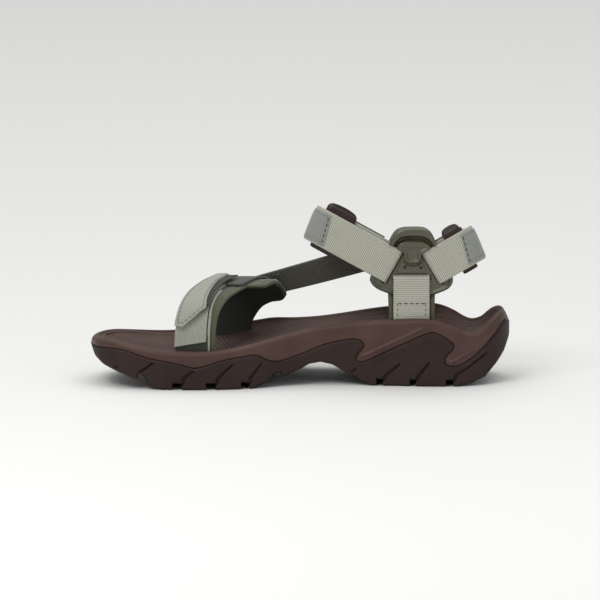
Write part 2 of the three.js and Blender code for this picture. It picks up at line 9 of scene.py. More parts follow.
import bpy
import numpy as np
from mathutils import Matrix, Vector


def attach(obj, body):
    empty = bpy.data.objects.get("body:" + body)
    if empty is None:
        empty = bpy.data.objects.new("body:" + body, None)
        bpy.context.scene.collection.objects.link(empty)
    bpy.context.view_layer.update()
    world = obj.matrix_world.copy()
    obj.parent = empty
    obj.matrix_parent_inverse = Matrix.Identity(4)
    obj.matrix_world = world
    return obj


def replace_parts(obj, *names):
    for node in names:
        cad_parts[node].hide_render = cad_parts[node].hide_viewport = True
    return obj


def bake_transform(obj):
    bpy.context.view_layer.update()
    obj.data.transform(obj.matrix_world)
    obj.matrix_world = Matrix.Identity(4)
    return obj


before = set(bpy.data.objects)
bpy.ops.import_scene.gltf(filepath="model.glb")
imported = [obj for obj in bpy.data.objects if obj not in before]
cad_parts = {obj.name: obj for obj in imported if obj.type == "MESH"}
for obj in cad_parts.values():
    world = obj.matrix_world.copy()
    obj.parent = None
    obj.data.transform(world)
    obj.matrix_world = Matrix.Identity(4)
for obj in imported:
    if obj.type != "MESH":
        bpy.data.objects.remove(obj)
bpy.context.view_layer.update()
MM = 0.001


# %% [markdown]
# Every piece of cloth, webbing or moulding here is a sheet of points with a thickness, or a skin of
# points. Making the mesh from grids keeps the faces square and lets a rib, a crease or a seam be a real
# change of shape.

# %% mesh helpers
def make_object(name, points, faces, material, uv=None, smooth=True):
    mesh = bpy.data.meshes.new(name)
    mesh.from_pydata((np.asarray(points) * MM).tolist(), [], faces)
    mesh.polygons.foreach_set("use_smooth", [smooth] * len(mesh.polygons))
    if uv is not None:
        layer = mesh.uv_layers.new(name="strap")
        corners = np.empty(len(mesh.loops), dtype=np.int32)
        mesh.loops.foreach_get("vertex_index", corners)
        layer.data.foreach_set("uv", np.asarray(uv, dtype=np.float32)[corners].ravel())
    mesh.materials.append(material)
    piece = bpy.data.objects.new(name, mesh)
    bpy.context.scene.collection.objects.link(piece)
    return piece


def grid_faces(rows, columns, offset=0, wrap=False, flip=False):
    faces = []
    for i in range(rows - 1):
        for j in range(columns if wrap else columns - 1):
            k = (j + 1) % columns
            quad = (i * columns + j, (i + 1) * columns + j, (i + 1) * columns + k, i * columns + k)
            quad = tuple(offset + q for q in quad)
            faces.append(quad[::-1] if flip else quad)
    return faces


def unit(vectors):
    return vectors / np.maximum(np.linalg.norm(vectors, axis=-1, keepdims=True), 1e-12)


def grid_normals(points):
    return unit(np.cross(np.gradient(points, axis=0), np.gradient(points, axis=1)))


def edge_steps(count, edge):
    """Numbers from 0 to 1 that crowd at both ends, where an edge is rounded over the share `edge`."""
    close = np.array([0, 0.1, 0.3, 0.6])
    return np.concatenate([close * edge, np.linspace(edge, 1 - edge, count), 1 - close[::-1] * edge])


def rounded(steps, edge):
    """How much of the full thickness is left at each step: a quarter round at both ends."""
    inward = np.clip(np.minimum(steps, 1 - steps) / edge, 0, 1)
    return np.sqrt(1 - (1 - inward) ** 2) * 0.85 + 0.15


def sheet(name, surface, thickness, size, material, steps=(60, 20), edge=0.8, relief=None, out=1,
          under_face_painted_shade=None, both=False):
    """A strap or pad: surface(t, w) gives its middle, and both faces stand half its thickness away."""
    length, width = size
    t = edge_steps(steps[0], min(edge / length, 0.2))
    w = edge_steps(steps[1], min(edge / width, 0.3))
    tt, ww = np.meshgrid(t, w, indexing="ij")
    middle = surface(tt, ww)
    normal = grid_normals(middle) * out
    half = thickness / 2 * rounded(ww, min(edge / width, 0.3)) * rounded(tt, min(edge / length, 0.2))
    raised = half if relief is None else half + relief(tt * length, (ww - 0.5) * width)
    rows, columns = tt.shape
    top = (middle + normal * raised[..., None]).reshape(-1, 3)
    under = raised if both else half
    bottom = (middle - normal * under[..., None]).reshape(-1, 3)
    count = rows * columns
    faces = grid_faces(rows, columns, flip=out < 0) + grid_faces(rows, columns, offset=count, flip=out > 0)
    rim = [(0, j) for j in range(columns)] + [(i, columns - 1) for i in range(1, rows)]
    rim += [(rows - 1, j) for j in range(columns - 2, -1, -1)] + [(i, 0) for i in range(rows - 2, 0, -1)]
    ring = [i * columns + j for i, j in rim]
    for a, b in zip(ring, ring[1:] + ring[:1]):
        quad = (a, b, b + count, a + count)
        faces.append(quad if out > 0 else quad[::-1])
    uv = np.stack([tt * length, ww * width], axis=-1).reshape(-1, 2)
    piece = make_object(name, np.concatenate([top, bottom]), faces, material,
                        np.concatenate([uv, uv + [0.6, 0]]))
    # The under faces take a second material: the darker copy of the liner cloth, which is painted shade.
    if under_face_painted_shade is not None:
        piece.data.materials.append(under_face_painted_shade)
        inner = (rows - 1) * (columns - 1)
        for face in piece.data.polygons[inner:2 * inner]:
            face.material_index = 1
    return piece


def tube(line, radius, sides=8, taper=None):
    """Points and faces of a round cord along a line, closed at both ends."""
    line = np.asarray(line, dtype=float)
    ahead = unit(np.gradient(line, axis=0))
    guide = np.where(np.abs(ahead[:, 2:3]) > 0.9, [[1.0, 0, 0]], [[0, 0, 1.0]])
    aside = unit(np.cross(ahead, guide))
    above = np.cross(aside, ahead)
    turn = np.linspace(0, 2 * math.pi, sides, endpoint=False)
    thick = radius * (np.ones(len(line)) if taper is None else np.asarray(taper))
    ring = aside[:, None] * np.cos(turn)[None, :, None] + above[:, None] * np.sin(turn)[None, :, None]
    points = (line[:, None] + ring * thick[:, None, None]).reshape(-1, 3)
    faces = grid_faces(len(line), sides, wrap=True, flip=True)
    faces.append(tuple(range(sides))[::-1])
    faces.append(tuple((len(line) - 1) * sides + k for k in range(sides)))
    return points, faces


def stitches(name, surface, size, paths, lift, material, out=1, length=2.1, space=1.0, radius=0.27):
    """Rows of short raised threads on a sheet, along paths given as (length, width) in millimetres."""
    points, faces = [], []
    for path in paths:
        path = np.asarray(path, dtype=float)
        total = along_line(path)[-1]
        count = max(int(round((total + space) / (length + space))), 1)
        pitch = (total + space) / count
        for k in range(count):
            shares = (k * pitch + np.linspace(0, pitch - space, 5)) / total
            spot = at(path, np.clip(shares, 0, 1))
            t, w = spot[:, 0] / size[0], spot[:, 1] / size[1] + 0.5
            step = 1e-3
            middle = surface(t, w)
            normal = unit(np.cross(surface(t + step, w) - middle, surface(t, w + step) - middle)) * out
            height = lift + np.array([-0.35, 0.05, 0.14, 0.05, -0.35])
            more, shape = tube(middle + normal * height[:, None], radius, 6, [0.7, 1, 1, 1, 0.7])
            base = sum(len(p) for p in points)
            points.append(more)
            faces += [tuple(base + q for q in f) for f in shape]
    return make_object(name, np.concatenate(points), faces, material)


print("a strap edge starts at", round(float(rounded(np.array([0.0]), 0.1)[0]), 2), "of its full thickness")


# %% [markdown]
# Smooth outlines are drawn through a few chosen points. The centripetal Catmull-Rom curve passes through
# each of them without loops, and it is the same curve that the solid model uses, so the fine mesh fits
# the solids.

# %% curves through points
def curve_through(points, steps=24, closed=False):
    p = np.asarray(points, dtype=float)
    if closed:
        p = np.concatenate([p[-1:], p, p[:2]])
    else:
        p = np.concatenate([[2 * p[0] - p[1]], p, [2 * p[-1] - p[-2]]])
    samples = []
    for a, b, c, d in zip(p, p[1:], p[2:], p[3:]):
        k0, k1, k2 = (max(np.linalg.norm(q - r) ** 0.5, 1e-6) for q, r in ((b, a), (c, b), (d, c)))
        m1 = k1 * ((b - a) / k0 - (c - a) / (k0 + k1)) + (c - b)
        m2 = k1 * ((d - c) / k2 - (d - b) / (k1 + k2)) + (c - b)
        s = np.linspace(0, 1, steps, endpoint=False)[:, None]
        samples.append(b + m1 * s + (3 * (c - b) - 2 * m1 - m2) * s**2 + (m1 + m2 - 2 * (c - b)) * s**3)
    if not closed:
        samples.append(p[-2][None])
    return np.concatenate(samples)


def along_line(line):
    """Distance travelled along a line at each of its points."""
    return np.concatenate([[0], np.cumsum(np.linalg.norm(np.diff(line, axis=0), axis=1))])


def at(line, t):
    """The points of a line at shares t of its length."""
    travelled = along_line(line)
    where = np.asarray(t) * travelled[-1]
    return np.stack([np.interp(where, travelled, line[:, k]) for k in range(line.shape[1])], axis=-1)


def left_of(line):
    """Unit directions to the left of a flat line."""
    d = np.gradient(line, axis=0)
    return unit(np.stack([-d[:, 1], d[:, 0]], axis=1))


def distance_to(line, x, z):
    """Distance from points (x, z) to an open line."""
    best = np.full(x.shape, 1e9)
    for (ax, az), (bx, bz) in zip(line, line[1:]):
        dx, dz = bx - ax, bz - az
        share = np.clip(((x - ax) * dx + (z - az) * dz) / (dx * dx + dz * dz + 1e-12), 0, 1)
        best = np.minimum(best, np.hypot(x - ax - share * dx, z - az - share * dz))
    return best


def inside(polygon, x, z):
    """True for points (x, z) inside a closed outline."""
    result = np.zeros(x.shape, dtype=bool)
    for (ax, az), (bx, bz) in zip(polygon, np.roll(polygon, -1, axis=0)):
        crosses = (az > z) != (bz > z)
        result ^= crosses & (x < (bx - ax) * (z - az) / (bz - az + 1e-12) + ax)
    return result


corner = curve_through([(0, 0), (1, 1), (2, 0)])
print("a curve through three points has", len(corner), "points and is", round(along_line(corner)[-1], 2),
      "long")


# %% [markdown]
# Rubber and moulded foam get their colour from a base tone with a slow drift, as a moulding has, and a
# fine grain in the bump. Webbing is woven: its ribs run across the strap and each rib shows the warp
# threads as a row of light and dark. The weave is worked out from the strap's own length and width
# coordinates.

# %% material helpers
def srgb(r, g, b):
    """A colour written as on a screen, turned into the linear numbers that the shaders use."""
    shares = [c / 255 for c in (r, g, b)]
    return tuple(c / 12.92 if c <= 0.04045 else ((c + 0.055) / 1.055) ** 2.4 for c in shares)


def new_material(name):
    material = bpy.data.materials.new(name)
    material.use_nodes = True
    tree = material.node_tree
    return material, tree, tree.nodes["Principled BSDF"]


def add_node(tree, kind, inputs=None, **settings):
    node = tree.nodes.new(kind)
    for key, value in settings.items():
        setattr(node, key, value)
    for key, value in (inputs or {}).items():
        if isinstance(value, bpy.types.NodeSocket):
            tree.links.new(value, node.inputs[key])
        else:
            node.inputs[key].default_value = value
    return node


def calc(tree, operation, a, b=0.0, c=0.0):
    return add_node(tree, "ShaderNodeMath", {0: a, 1: b, 2: c}, operation=operation).outputs[0]


def blend_colour(tree, share, a, b):
    node = add_node(tree, "ShaderNodeMix", {0: share}, data_type="RGBA")
    for socket, value in ((node.inputs[6], a), (node.inputs[7], b)):
        if isinstance(value, bpy.types.NodeSocket):
            tree.links.new(value, socket)
        else:
            socket.default_value = (*value, 1)
    return node.outputs[2]


def noise(tree, place, scale, detail=4.0, roughness=0.55):
    inputs = {"Vector": place, "Scale": scale, "Detail": detail, "Roughness": roughness}
    return add_node(tree, "ShaderNodeTexNoise", inputs).outputs["Fac"]


def spread(tree, value, low, high):
    node = add_node(tree, "ShaderNodeMapRange", {"Value": value, "From Min": low, "From Max": high})
    return node.outputs["Result"]


def add_bump(tree, shader, height, strength, distance):
    inputs = {"Height": height, "Strength": strength, "Distance": distance * MM}
    tree.links.new(add_node(tree, "ShaderNodeBump", inputs).outputs["Normal"], shader.inputs["Normal"])


def moulding(name, base, dark, roughness, grain=2600.0, grain_depth=0.06, sheen=0.0, shine=0.24):
    """Rubber, foam or plastic from a mould: a slow drift of tone, worn high spots and a fine grain."""
    material, tree, shader = new_material(name)
    place = add_node(tree, "ShaderNodeTexCoord").outputs["Object"]
    drift = spread(tree, noise(tree, place, 38.0), 0.32, 0.68)
    fine = noise(tree, place, grain, 2.0)
    tone = blend_colour(tree, drift, dark, base)
    tone = blend_colour(tree, calc(tree, "MULTIPLY", fine, 0.22), tone, tuple(c * 0.62 for c in base))
    tree.links.new(tone, shader.inputs["Base Color"])
    wear = calc(tree, "MULTIPLY_ADD", noise(tree, place, 140.0), 0.16, roughness - 0.08)
    tree.links.new(wear, shader.inputs["Roughness"])
    shader.inputs["Specular IOR Level"].default_value = shine
    shader.inputs["Sheen Weight"].default_value = sheen
    shader.inputs["Sheen Roughness"].default_value = 0.5
    add_bump(tree, shader, fine, 0.5, grain_depth)
    return material


def woven(name, light, dark, rib=1.3, thread=0.95, depth=0.12, roughness=0.85, sheen=0.3, along=False):
    """Webbing: ribs of weft with rows of warp threads over them, read from the strap's own coordinates."""
    material, tree, shader = new_material(name)
    uv = add_node(tree, "ShaderNodeUVMap", uv_map="strap").outputs["UV"]
    parts = add_node(tree, "ShaderNodeSeparateXYZ", {0: uv})
    length, width = (parts.outputs[1], parts.outputs[0]) if along else (parts.outputs[0], parts.outputs[1])
    rib_wave = calc(tree, "SINE", calc(tree, "MULTIPLY", length, 2 * math.pi / rib))
    rib_height = calc(tree, "MULTIPLY_ADD", rib_wave, 0.5, 0.5)
    row = calc(tree, "FLOOR", calc(tree, "DIVIDE", length, rib))
    shifted = calc(tree, "MULTIPLY_ADD", row, math.pi, calc(tree, "MULTIPLY", width, 2 * math.pi / thread))
    warp = calc(tree, "MULTIPLY_ADD", calc(tree, "SINE", shifted), 0.5, 0.5)
    place = add_node(tree, "ShaderNodeTexCoord").outputs["Object"]
    fuzz = noise(tree, place, 1900.0, 3.0)
    patches = spread(tree, noise(tree, place, 60.0), 0.3, 0.7)
    weave = calc(tree, "MULTIPLY", rib_height, calc(tree, "MULTIPLY_ADD", warp, 0.45, 0.55))
    tone = blend_colour(tree, calc(tree, "POWER", weave, 0.7), dark, light)
    tone = blend_colour(tree, calc(tree, "MULTIPLY", patches, 0.16), tone, dark)
    tone = blend_colour(tree, calc(tree, "MULTIPLY", fuzz, 0.2), tone,
                        tuple(min(c * 1.25, 1) for c in light))
    tree.links.new(tone, shader.inputs["Base Color"])
    shader.inputs["Roughness"].default_value = roughness
    shader.inputs["Sheen Weight"].default_value = sheen
    shader.inputs["Sheen Roughness"].default_value = 0.4
    height = calc(tree, "MULTIPLY_ADD", fuzz, 0.35, weave)
    add_bump(tree, shader, height, 0.7, depth)
    return material


def cloth(name, light, dark, weave_scale=1500.0, depth=0.08, roughness=0.8, sheen=0.25, speckle=0.35):
    """Smooth coated or brushed fabric: close grain, small flecks and a soft sheen."""
    material, tree, shader = new_material(name)
    place = add_node(tree, "ShaderNodeTexCoord").outputs["Object"]
    grain = noise(tree, place, weave_scale, 3.0, 0.65)
    flecks = spread(tree, grain, 0.35, 0.7)
    drift = spread(tree, noise(tree, place, 45.0), 0.3, 0.7)
    tone = blend_colour(tree, calc(tree, "MULTIPLY", flecks, speckle), light, dark)
    tone = blend_colour(tree, calc(tree, "MULTIPLY", drift, 0.25), tone, dark)
    tree.links.new(tone, shader.inputs["Base Color"])
    shader.inputs["Roughness"].default_value = roughness
    shader.inputs["Sheen Weight"].default_value = sheen
    shader.inputs["Sheen Roughness"].default_value = 0.45
    add_bump(tree, shader, grain, 0.6, depth)
    return material


print("mid grey 128 is", round(srgb(128, 128, 128)[0], 3), "in the linear scale the shaders use")


# %% [markdown]
# The finishes follow the real thing: a dark rubber outsole, a slightly redder and lighter foam, olive
# nylon for the moulded plates, pale grey-green webbing, smooth coated cloth for the sewn ends, brushed
# olive liner cloth, and hook and loop pile. Two are darker copies that paint in shade: the far-side
# forefoot webbing and the liner's inner face. Each is one material, so a change of tone is made in one
# place.

# %% finishes
OUTSOLE = moulding("outsole_rubber", srgb(50, 34, 30), srgb(39, 26, 23), 0.6, grain=2200.0)
MIDSOLE = moulding("midsole_foam", srgb(80, 57, 50), srgb(66, 47, 41), 0.46, grain=3000.0, grain_depth=0.03)
FOOTBED = moulding("footbed_rubber", srgb(84, 65, 58), srgb(68, 52, 46), 0.7, grain=2000.0,
                   grain_depth=0.08)
STAY = moulding("stay_plastic", srgb(78, 77, 59), srgb(66, 65, 49), 0.3, grain=3200.0, grain_depth=0.02,
                shine=0.6)
KEEPER = moulding("keeper_plastic", srgb(56, 41, 36), srgb(38, 28, 25), 0.4, grain=2400.0, grain_depth=0.04)
SHANK = moulding("shank_plastic", srgb(48, 48, 48), srgb(36, 36, 36), 0.5)
CUSHION = moulding("cushion_foam", srgb(140, 140, 132), srgb(120, 120, 112), 0.9)
WEBBING = woven("webbing", srgb(186, 186, 172), srgb(120, 120, 109))
FINE_WEBBING = woven("fine_webbing", srgb(172, 173, 160), srgb(96, 97, 88), rib=1.0, thread=0.9, along=True)
# Far-side forefoot webbing: the dark lateral webbing tone, darkened further as painted shade of the far
# side.
FAR_WEBBING_DARK_AND_PAINTED_SHADE = woven("far_webbing_dark_and_painted_shade", srgb(78, 78, 68), srgb(38, 38, 33), rib=1.0, thread=0.9, along=True)
DARK_WEBBING = woven("dark_webbing", srgb(104, 103, 92), srgb(44, 44, 39), rib=1.5, thread=1.0)
OVERLAY = cloth("overlay", srgb(150, 150, 140), srgb(126, 126, 117), speckle=0.3)
PATCH = cloth("end_patch", srgb(130, 134, 126), srgb(108, 113, 105), roughness=0.6, speckle=0.25)
LINER = cloth("liner_fabric", srgb(76, 76, 54), srgb(57, 57, 40), weave_scale=1200.0, sheen=0.3)
# A darker copy of the liner cloth for its inner faces: painted shade of the shoe's inside.
LINER_INSIDE_PAINTED_SHADE = cloth("liner_inside_painted_shade", srgb(34, 37, 30), srgb(22, 25, 20), weave_scale=1100.0, sheen=0.15)
PILE = cloth("pile", srgb(54, 55, 42), srgb(24, 25, 19), weave_scale=2200.0, depth=0.35, speckle=0.8,
             sheen=0.12)
FUZZ = cloth("loop_pile", srgb(128, 129, 119), srgb(70, 71, 63), weave_scale=1600.0, depth=0.4,
             speckle=0.7, sheen=0.6)
THREAD = cloth("thread", srgb(122, 125, 114), srgb(96, 99, 89), weave_scale=4000.0, speckle=0.4)
DARK_THREAD = cloth("dark_thread", srgb(62, 63, 58), srgb(44, 45, 40), weave_scale=4000.0, speckle=0.4)
print("materials made:", len(bpy.data.materials))


# %% [markdown]
# The sole is a cup of foam standing in a rubber outsole, with the footbed let into the cup. All three
# follow one outline, so it is drawn once: the medial side from toe to heel, then the lateral side back
# again. Columns of points stand along it every half millimetre, with a pair at each wall of a tread
# groove.

# %% sole lines
SOLE_LENGTH, BALL, HEEL = 291.0, 54.0, 39.0
OUTLINE = [(-1, -.22 * BALL), (-.95, -.64 * BALL), (-.82, -.88 * BALL), (-.62, -.985 * BALL),
           (-.44, -BALL), (-.24, -.9 * BALL), (-.02, -.93 * HEEL), (.2, -.86 * HEEL), (.42, -.92 * HEEL),
           (.62, -HEEL), (.8, -.95 * HEEL), (.94, -.62 * HEEL), (1, 0), (.94, .62 * HEEL),
           (.8, .95 * HEEL), (.6, 1.02 * HEEL), (.4, 1.04 * HEEL), (.2, .83 * BALL), (0, .92 * BALL),
           (-.2, .985 * BALL), (-.38, BALL), (-.58, .95 * BALL), (-.77, .78 * BALL), (-.91, .48 * BALL),
           (-.98, .12 * BALL)]
MEDIAL_RIM = [(-146.5, 33), (-129, 34), (-113, 30.7), (-100, 28.2), (-85, 27), (-58, 27), (-33, 30.9),
              (-10, 36.4), (6, 41.3), (27, 44.7), (60, 46.6), (92, 46.3), (104, 42.2), (115, 37.2),
              (126, 40.5), (134, 47), (140, 49), (146.5, 43)]
LATERAL_RIM = [(-146.5, 32), (-140, 30.6), (-112, 27.4), (-89, 26.3), (-60, 28.5), (-32, 33), (-19, 35),
               (-2, 35), (12, 35.8), (27, 38), (60, 44.2), (94, 47.4), (107, 43.3), (115, 38.6),
               (120, 36.8), (126, 38.5), (131, 43.3), (136, 47.5), (140, 49), (146.5, 43)]
BED = [(-146.5, 31), (-125, 29.5), (-105, 26), (-80, 23.6), (-52, 24), (-25, 27.5), (0, 31.5), (30, 34),
       (60, 34), (90, 33), (115, 32), (128, 34), (136, 38), (146.5, 42)]
UNDERSIDE = [(-145.5, 25), (-142.5, 19.5), (-136, 15), (-126, 11), (-113.5, 6.8), (-104, 2.4), (-96, 0),
             (-32, 0), (-26, 3), (-14, 6.6), (0, 11.5), (6, 15), (14, 16.4), (22, 14.6), (30, 10),
             (41, 4), (50, 0), (109, 0), (118, 1.6), (128, 5.6), (136, 14), (141.5, 21), (145.5, 30)]
PARTING = [(-147.5, 26.2), (-125, 27), (-105, 21.6), (-85, 18), (-73, 15.3), (-53, 20.3), (-36, 23),
           (-29, 23), (-24.4, 20.2), (-16.8, 17.8), (-1, 21.6), (16, 28.3), (28, 31.2), (38, 32.2),
           (42, 31), (43.7, 28.1), (39.2, 21.4), (38.5, 17.6), (41.8, 16.2), (65, 26.6), (86, 36.2),
           (91, 37.6), (96, 36.3), (106, 29), (105.7, 26.6), (99.8, 19.3), (100.8, 15.4), (106, 13.9),
           (113, 15.8), (127, 25.9), (137, 36.8), (141.7, 42.4), (147.5, 46)]
GROOVES = [(-88.8, 6.9), (-65.3, 7), (-41, 6.2), (52.4, 4.8), (75.6, 4.4), (100.8, 5.3)]
TREAD = 4.4
LUG_GAPS = [(start, width, TREAD) for start, width in GROOVES] + [(-112.8, 7.0, 4.6), (-17.8, 5.0, 3.6)]

outline = curve_through([(x * SOLE_LENGTH / 2, y) for x, y in OUTLINE], 60, closed=True)
toe, heel = outline[:, 0].argmin(), outline[:, 0].argmax()
outline = np.roll(outline, -toe, axis=0)
heel = (heel - toe) % len(outline)
medial_half, lateral_half = outline[: heel + 1], np.concatenate([outline[heel:], outline[:1]])[::-1]
x_toe, x_heel = outline[0, 0], outline[heel, 0]

near = 10 * (1 - np.cos(np.linspace(0.06, 1, 34) * math.pi / 2))
columns = [x_toe + near, x_heel - near, np.arange(x_toe + near[-1] + 0.4, x_heel - near[-1] - 0.2, 0.5)]
columns += [np.array([start - 0.04, start + 0.04, start + width - 0.04, start + width + 0.04])
            for start, width, _ in LUG_GAPS]
col_x = np.unique(np.concatenate([[x_toe], *columns, [x_heel]]).round(4))
n_col = len(col_x)
medial_y = np.interp(col_x, medial_half[:, 0], medial_half[:, 1])
lateral_y = np.interp(col_x, lateral_half[:, 0], lateral_half[:, 1])
loop = np.concatenate([np.stack([col_x, medial_y], 1), np.stack([col_x, lateral_y], 1)[1:-1][::-1]])
n_loop = len(loop)
tangent = np.roll(loop, -1, axis=0) - np.roll(loop, 1, axis=0)
for _ in range(3):
    tangent = (np.roll(tangent, 1, axis=0) + tangent + np.roll(tangent, -1, axis=0)) / 3
outward = unit(np.stack([tangent[:, 1], -tangent[:, 0]], axis=1))


def height_on(line, x):
    curve = curve_through(line, 16)
    return np.interp(x, curve[:, 0], curve[:, 1])


def rim_height(x, y):
    """The rim goes straight across from the medial line to the lateral one."""
    share = np.clip((y + 60) / 120, 0, 1)
    return height_on(MEDIAL_RIM, x) * (1 - share) + height_on(LATERAL_RIM, x) * share


def smooth(value, low, high):
    s = np.clip((value - low) / (high - low), 0, 1)
    return s * s * (3 - 2 * s)


def under_height(x):
    z = np.interp(x, *np.array(UNDERSIDE).T)
    for start, width, depth in LUG_GAPS:
        z = np.where((x > start) & (x < start + width), z + depth, z)
    return z


loop_rim = rim_height(loop[:, 0], loop[:, 1])
loop_under = under_height(loop[:, 0])
print("sole columns", n_col, "points round the outline", n_loop)

# %% [markdown]
# The wave where the dark outsole meets the lighter midsole is a moulded step with a fine groove along it.
# Each point of the side wall knows how far it is from that line and on which side, so the outsole can
# turn inward under the foam there and the two meshes meet in a crisp line that is not tied to the mesh's
# own rows.

# %% side walls
WALL_ROWS = 74
MIDSOLE_INSET = 0.8
parting = curve_through(PARTING, 10)
below = np.concatenate([parting, [[160, 46], [160, -20], [-160, -20], [-160, 26.2]]])
rows_up = np.linspace(0, 1, WALL_ROWS)[:, None]
wall_x = np.broadcast_to(loop[:, 0], (WALL_ROWS, n_loop))
wall_z = loop_under + 2.2 + (loop_rim - 3.6 - loop_under - 2.2) * rows_up
beyond = distance_to(parting, wall_x, wall_z)
beyond = np.where(inside(below, wall_x, wall_z), -beyond, beyond)


def loop_points(offset, height):
    """One ring of points round the outline, moved outward by offset, at the given heights."""
    offset = np.broadcast_to(offset, (n_loop,))
    x, y = (loop + outward * offset[:, None]).T
    return np.stack([x, y, np.broadcast_to(height, (n_loop,))], axis=1)


def line_dent(lines, x, z, width, depth):
    dent = np.zeros(x.shape)
    for line in lines:
        away = distance_to(np.array(line), x, z)
        dent = np.maximum(dent, depth * (1 - smooth(away, width * 0.3, width * 0.75)))
    return dent


SIDE_SLITS = [[(-111, 12), (-101.5, 19)], [(-81.6, 4.6), (-80, 9), (-72, 14.8)],
              [(-57.9, 4.6), (-56.6, 8.6), (-46.8, 17.4)], [(-34.4, 4.4), (-34, 8), (-26.8, 17.2)],
              [(57.3, 4.2), (60.2, 8.2), (68.5, 15.3)], [(80.3, 4.4), (82.8, 8.6), (89, 16.4)],
              [(106.3, 4.6), (108.8, 8.4), (117, 13.6), (129.4, 22.4)]]
NOTCHES = [[(-128.6, 9), (-127.4, 15)], [(-127.8, 9), (-127.4, 15)], [(-22, 5), (-17.5, 9.5)],
           [(34, 7), (38, 11.5)], [(128, 6), (131, 10.5)]]
STEP = np.array([(52, 19), (64.5, 24.4), (90.6, 33), (97.4, 27.5), (98.4, 20.4), (94, 12)])
RIDGES = [[(43, 20.5), (46.5, 22), (60, 28.5), (74.3, 35.5), (84, 40.5)],
          [(104, 17), (108.4, 18.7), (124.4, 28), (133.8, 35.6), (139, 41)]]

slit_width = 2.1 - 1.1 * smooth(wall_z, 6, 17)
out_wall = -line_dent(SIDE_SLITS, wall_x, wall_z, slit_width, 1.7)
out_wall -= line_dent(NOTCHES, wall_x, wall_z, 1.5, 1.4)
out_wall += 0.35 * (1 - smooth(distance_to(STEP, wall_x, wall_z), 0.2, 2.4)) * (beyond < 0)
out_wall -= 0.5 * smooth(beyond, -1.3, -0.1) ** 2
out_wall -= 2.4 * smooth(beyond, -0.15, 1.1)
mid_wall = -MIDSOLE_INSET - 1.7 * (1 - smooth(np.abs(beyond), 0.1, 0.85))
for ridge in RIDGES:
    away = distance_to(np.array(ridge), wall_x, wall_z)
    mid_wall += 0.9 * (1 - smooth(away, 0.1, 1.9)) * smooth(beyond, 0.8, 2)
mid_wall += 0.35 * np.sin(np.clip((wall_z - loop_under) / (loop_rim - loop_under), 0, 1) * math.pi)


def wall_points(offsets):
    return np.stack([loop_points(offsets[i], wall_z[i]) for i in range(WALL_ROWS)])


def ladder(edge_ring, across, height):
    """Fills the ring from side to side; height(x, y, d) gives z, with d the distance in from the edge."""
    medial = edge_ring[:n_col]
    lateral = np.concatenate([edge_ring[:1], edge_ring[n_col:][::-1], edge_ring[n_col - 1:n_col]])
    share = np.linspace(0, 1, across)[None, :, None]
    flat = medial[:, None] * (1 - share) + lateral[:, None] * share
    width = np.abs(lateral[:, 1] - medial[:, 1])[:, None]
    reach = np.minimum(share[..., 0], 1 - share[..., 0]) * width
    flat[..., 2] = height(flat[..., 0], flat[..., 1], reach)
    return flat


def wall_faces(past_line, wanted):
    """Faces between neighbouring rings, made only where the corners' distances past the line are wanted."""
    faces = []
    for i in range(len(past_line) - 1):
        for k in range(n_loop):
            m = (k + 1) % n_loop
            if wanted(past_line[i, k], past_line[i + 1, k], past_line[i, m], past_line[i + 1, m]):
                faces.append((i * n_loop + k, i * n_loop + m, (i + 1) * n_loop + m, (i + 1) * n_loop + k))
    return faces


out_points = wall_points(out_wall)
bottom_rings = []
for s in (0.0, 0.12, 0.3, 0.55, 0.8):
    ring = loop_points(-2.6 * (1 - math.sqrt(max(1 - (1 - s) ** 2, 0))), loop_under)
    own = np.interp(ring[:, 0], *np.array(UNDERSIDE).T)
    ring[:, 2] = np.where(np.abs(loop[:, 0]) > 120, own, ring[:, 2]) + 2.2 * s
    bottom_rings.append(ring)
out_grid = np.concatenate([np.stack(bottom_rings), out_points])
shown = np.concatenate([np.full((5, n_loop), -9.0), beyond])
out_faces = wall_faces(shown, lambda *past: min(past) < 1.3)
bottom = ladder(out_grid[0], 40, lambda x, y, d: under_height(x))
base = len(out_grid) * n_loop
out_faces += grid_faces(n_col, 40, offset=base, flip=True)
outsole = make_object("outsole_skin", np.concatenate([out_grid.reshape(-1, 3), bottom.reshape(-1, 3)]),
                      out_faces, OUTSOLE)
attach(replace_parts(outsole, "outsole"), "shoe")
print("outsole faces", len(outsole.data.polygons))

# %% [markdown]
# The foam midsole is what shows above the wavy line. Its wall stands a little inside the rubber, and its
# rim is softly bevelled on the outside and rolls over into the cup. The rim is a stack of rings, each a
# copy of the outline moved inward and lifted, because that keeps the bevel the same width all round the
# foot.

# %% midsole
RIM_ACROSS = [-0.8, -0.9, -1.15, -1.6, -2.4, -3.2, -3.8, -4.4, -5.0, -5.5, -5.8, -5.9]
RIM_UP = [-3.1, -2.6, -2.1, -1.6, -0.85, -0.25, -0.03, 0, -0.25, -0.9, -2.2, -7.0]
mid_points = wall_points(mid_wall)
rim_rings = []
for across, up in zip(RIM_ACROSS, RIM_UP):
    ring = loop_points(across, 0)
    ring[:, 2] = rim_height(ring[:, 0], ring[:, 1]) + up
    rim_rings.append(ring)
tuck = loop_points(-5.0, loop_under + 3.5)
mid_grid = np.concatenate([tuck[None], mid_points, np.stack(rim_rings)])
kept = np.concatenate([beyond[:1], beyond, np.full((len(rim_rings), n_loop), 9.0)])
mid_faces = wall_faces(kept, lambda *past: max(past) > -1.6)
midsole = make_object("midsole_skin", mid_grid.reshape(-1, 3), mid_faces, MIDSOLE)
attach(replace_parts(midsole, "midsole"), "shoe")
print("midsole faces", len(midsole.data.polygons))

# %% [markdown]
# The footbed is rubber-coated foam. Under the toes it has low slanted ribs inside a plain border, and in
# the heel cup long moulded lines flow round with the rim. Both are raised in the mesh, a few tenths of a
# millimetre.

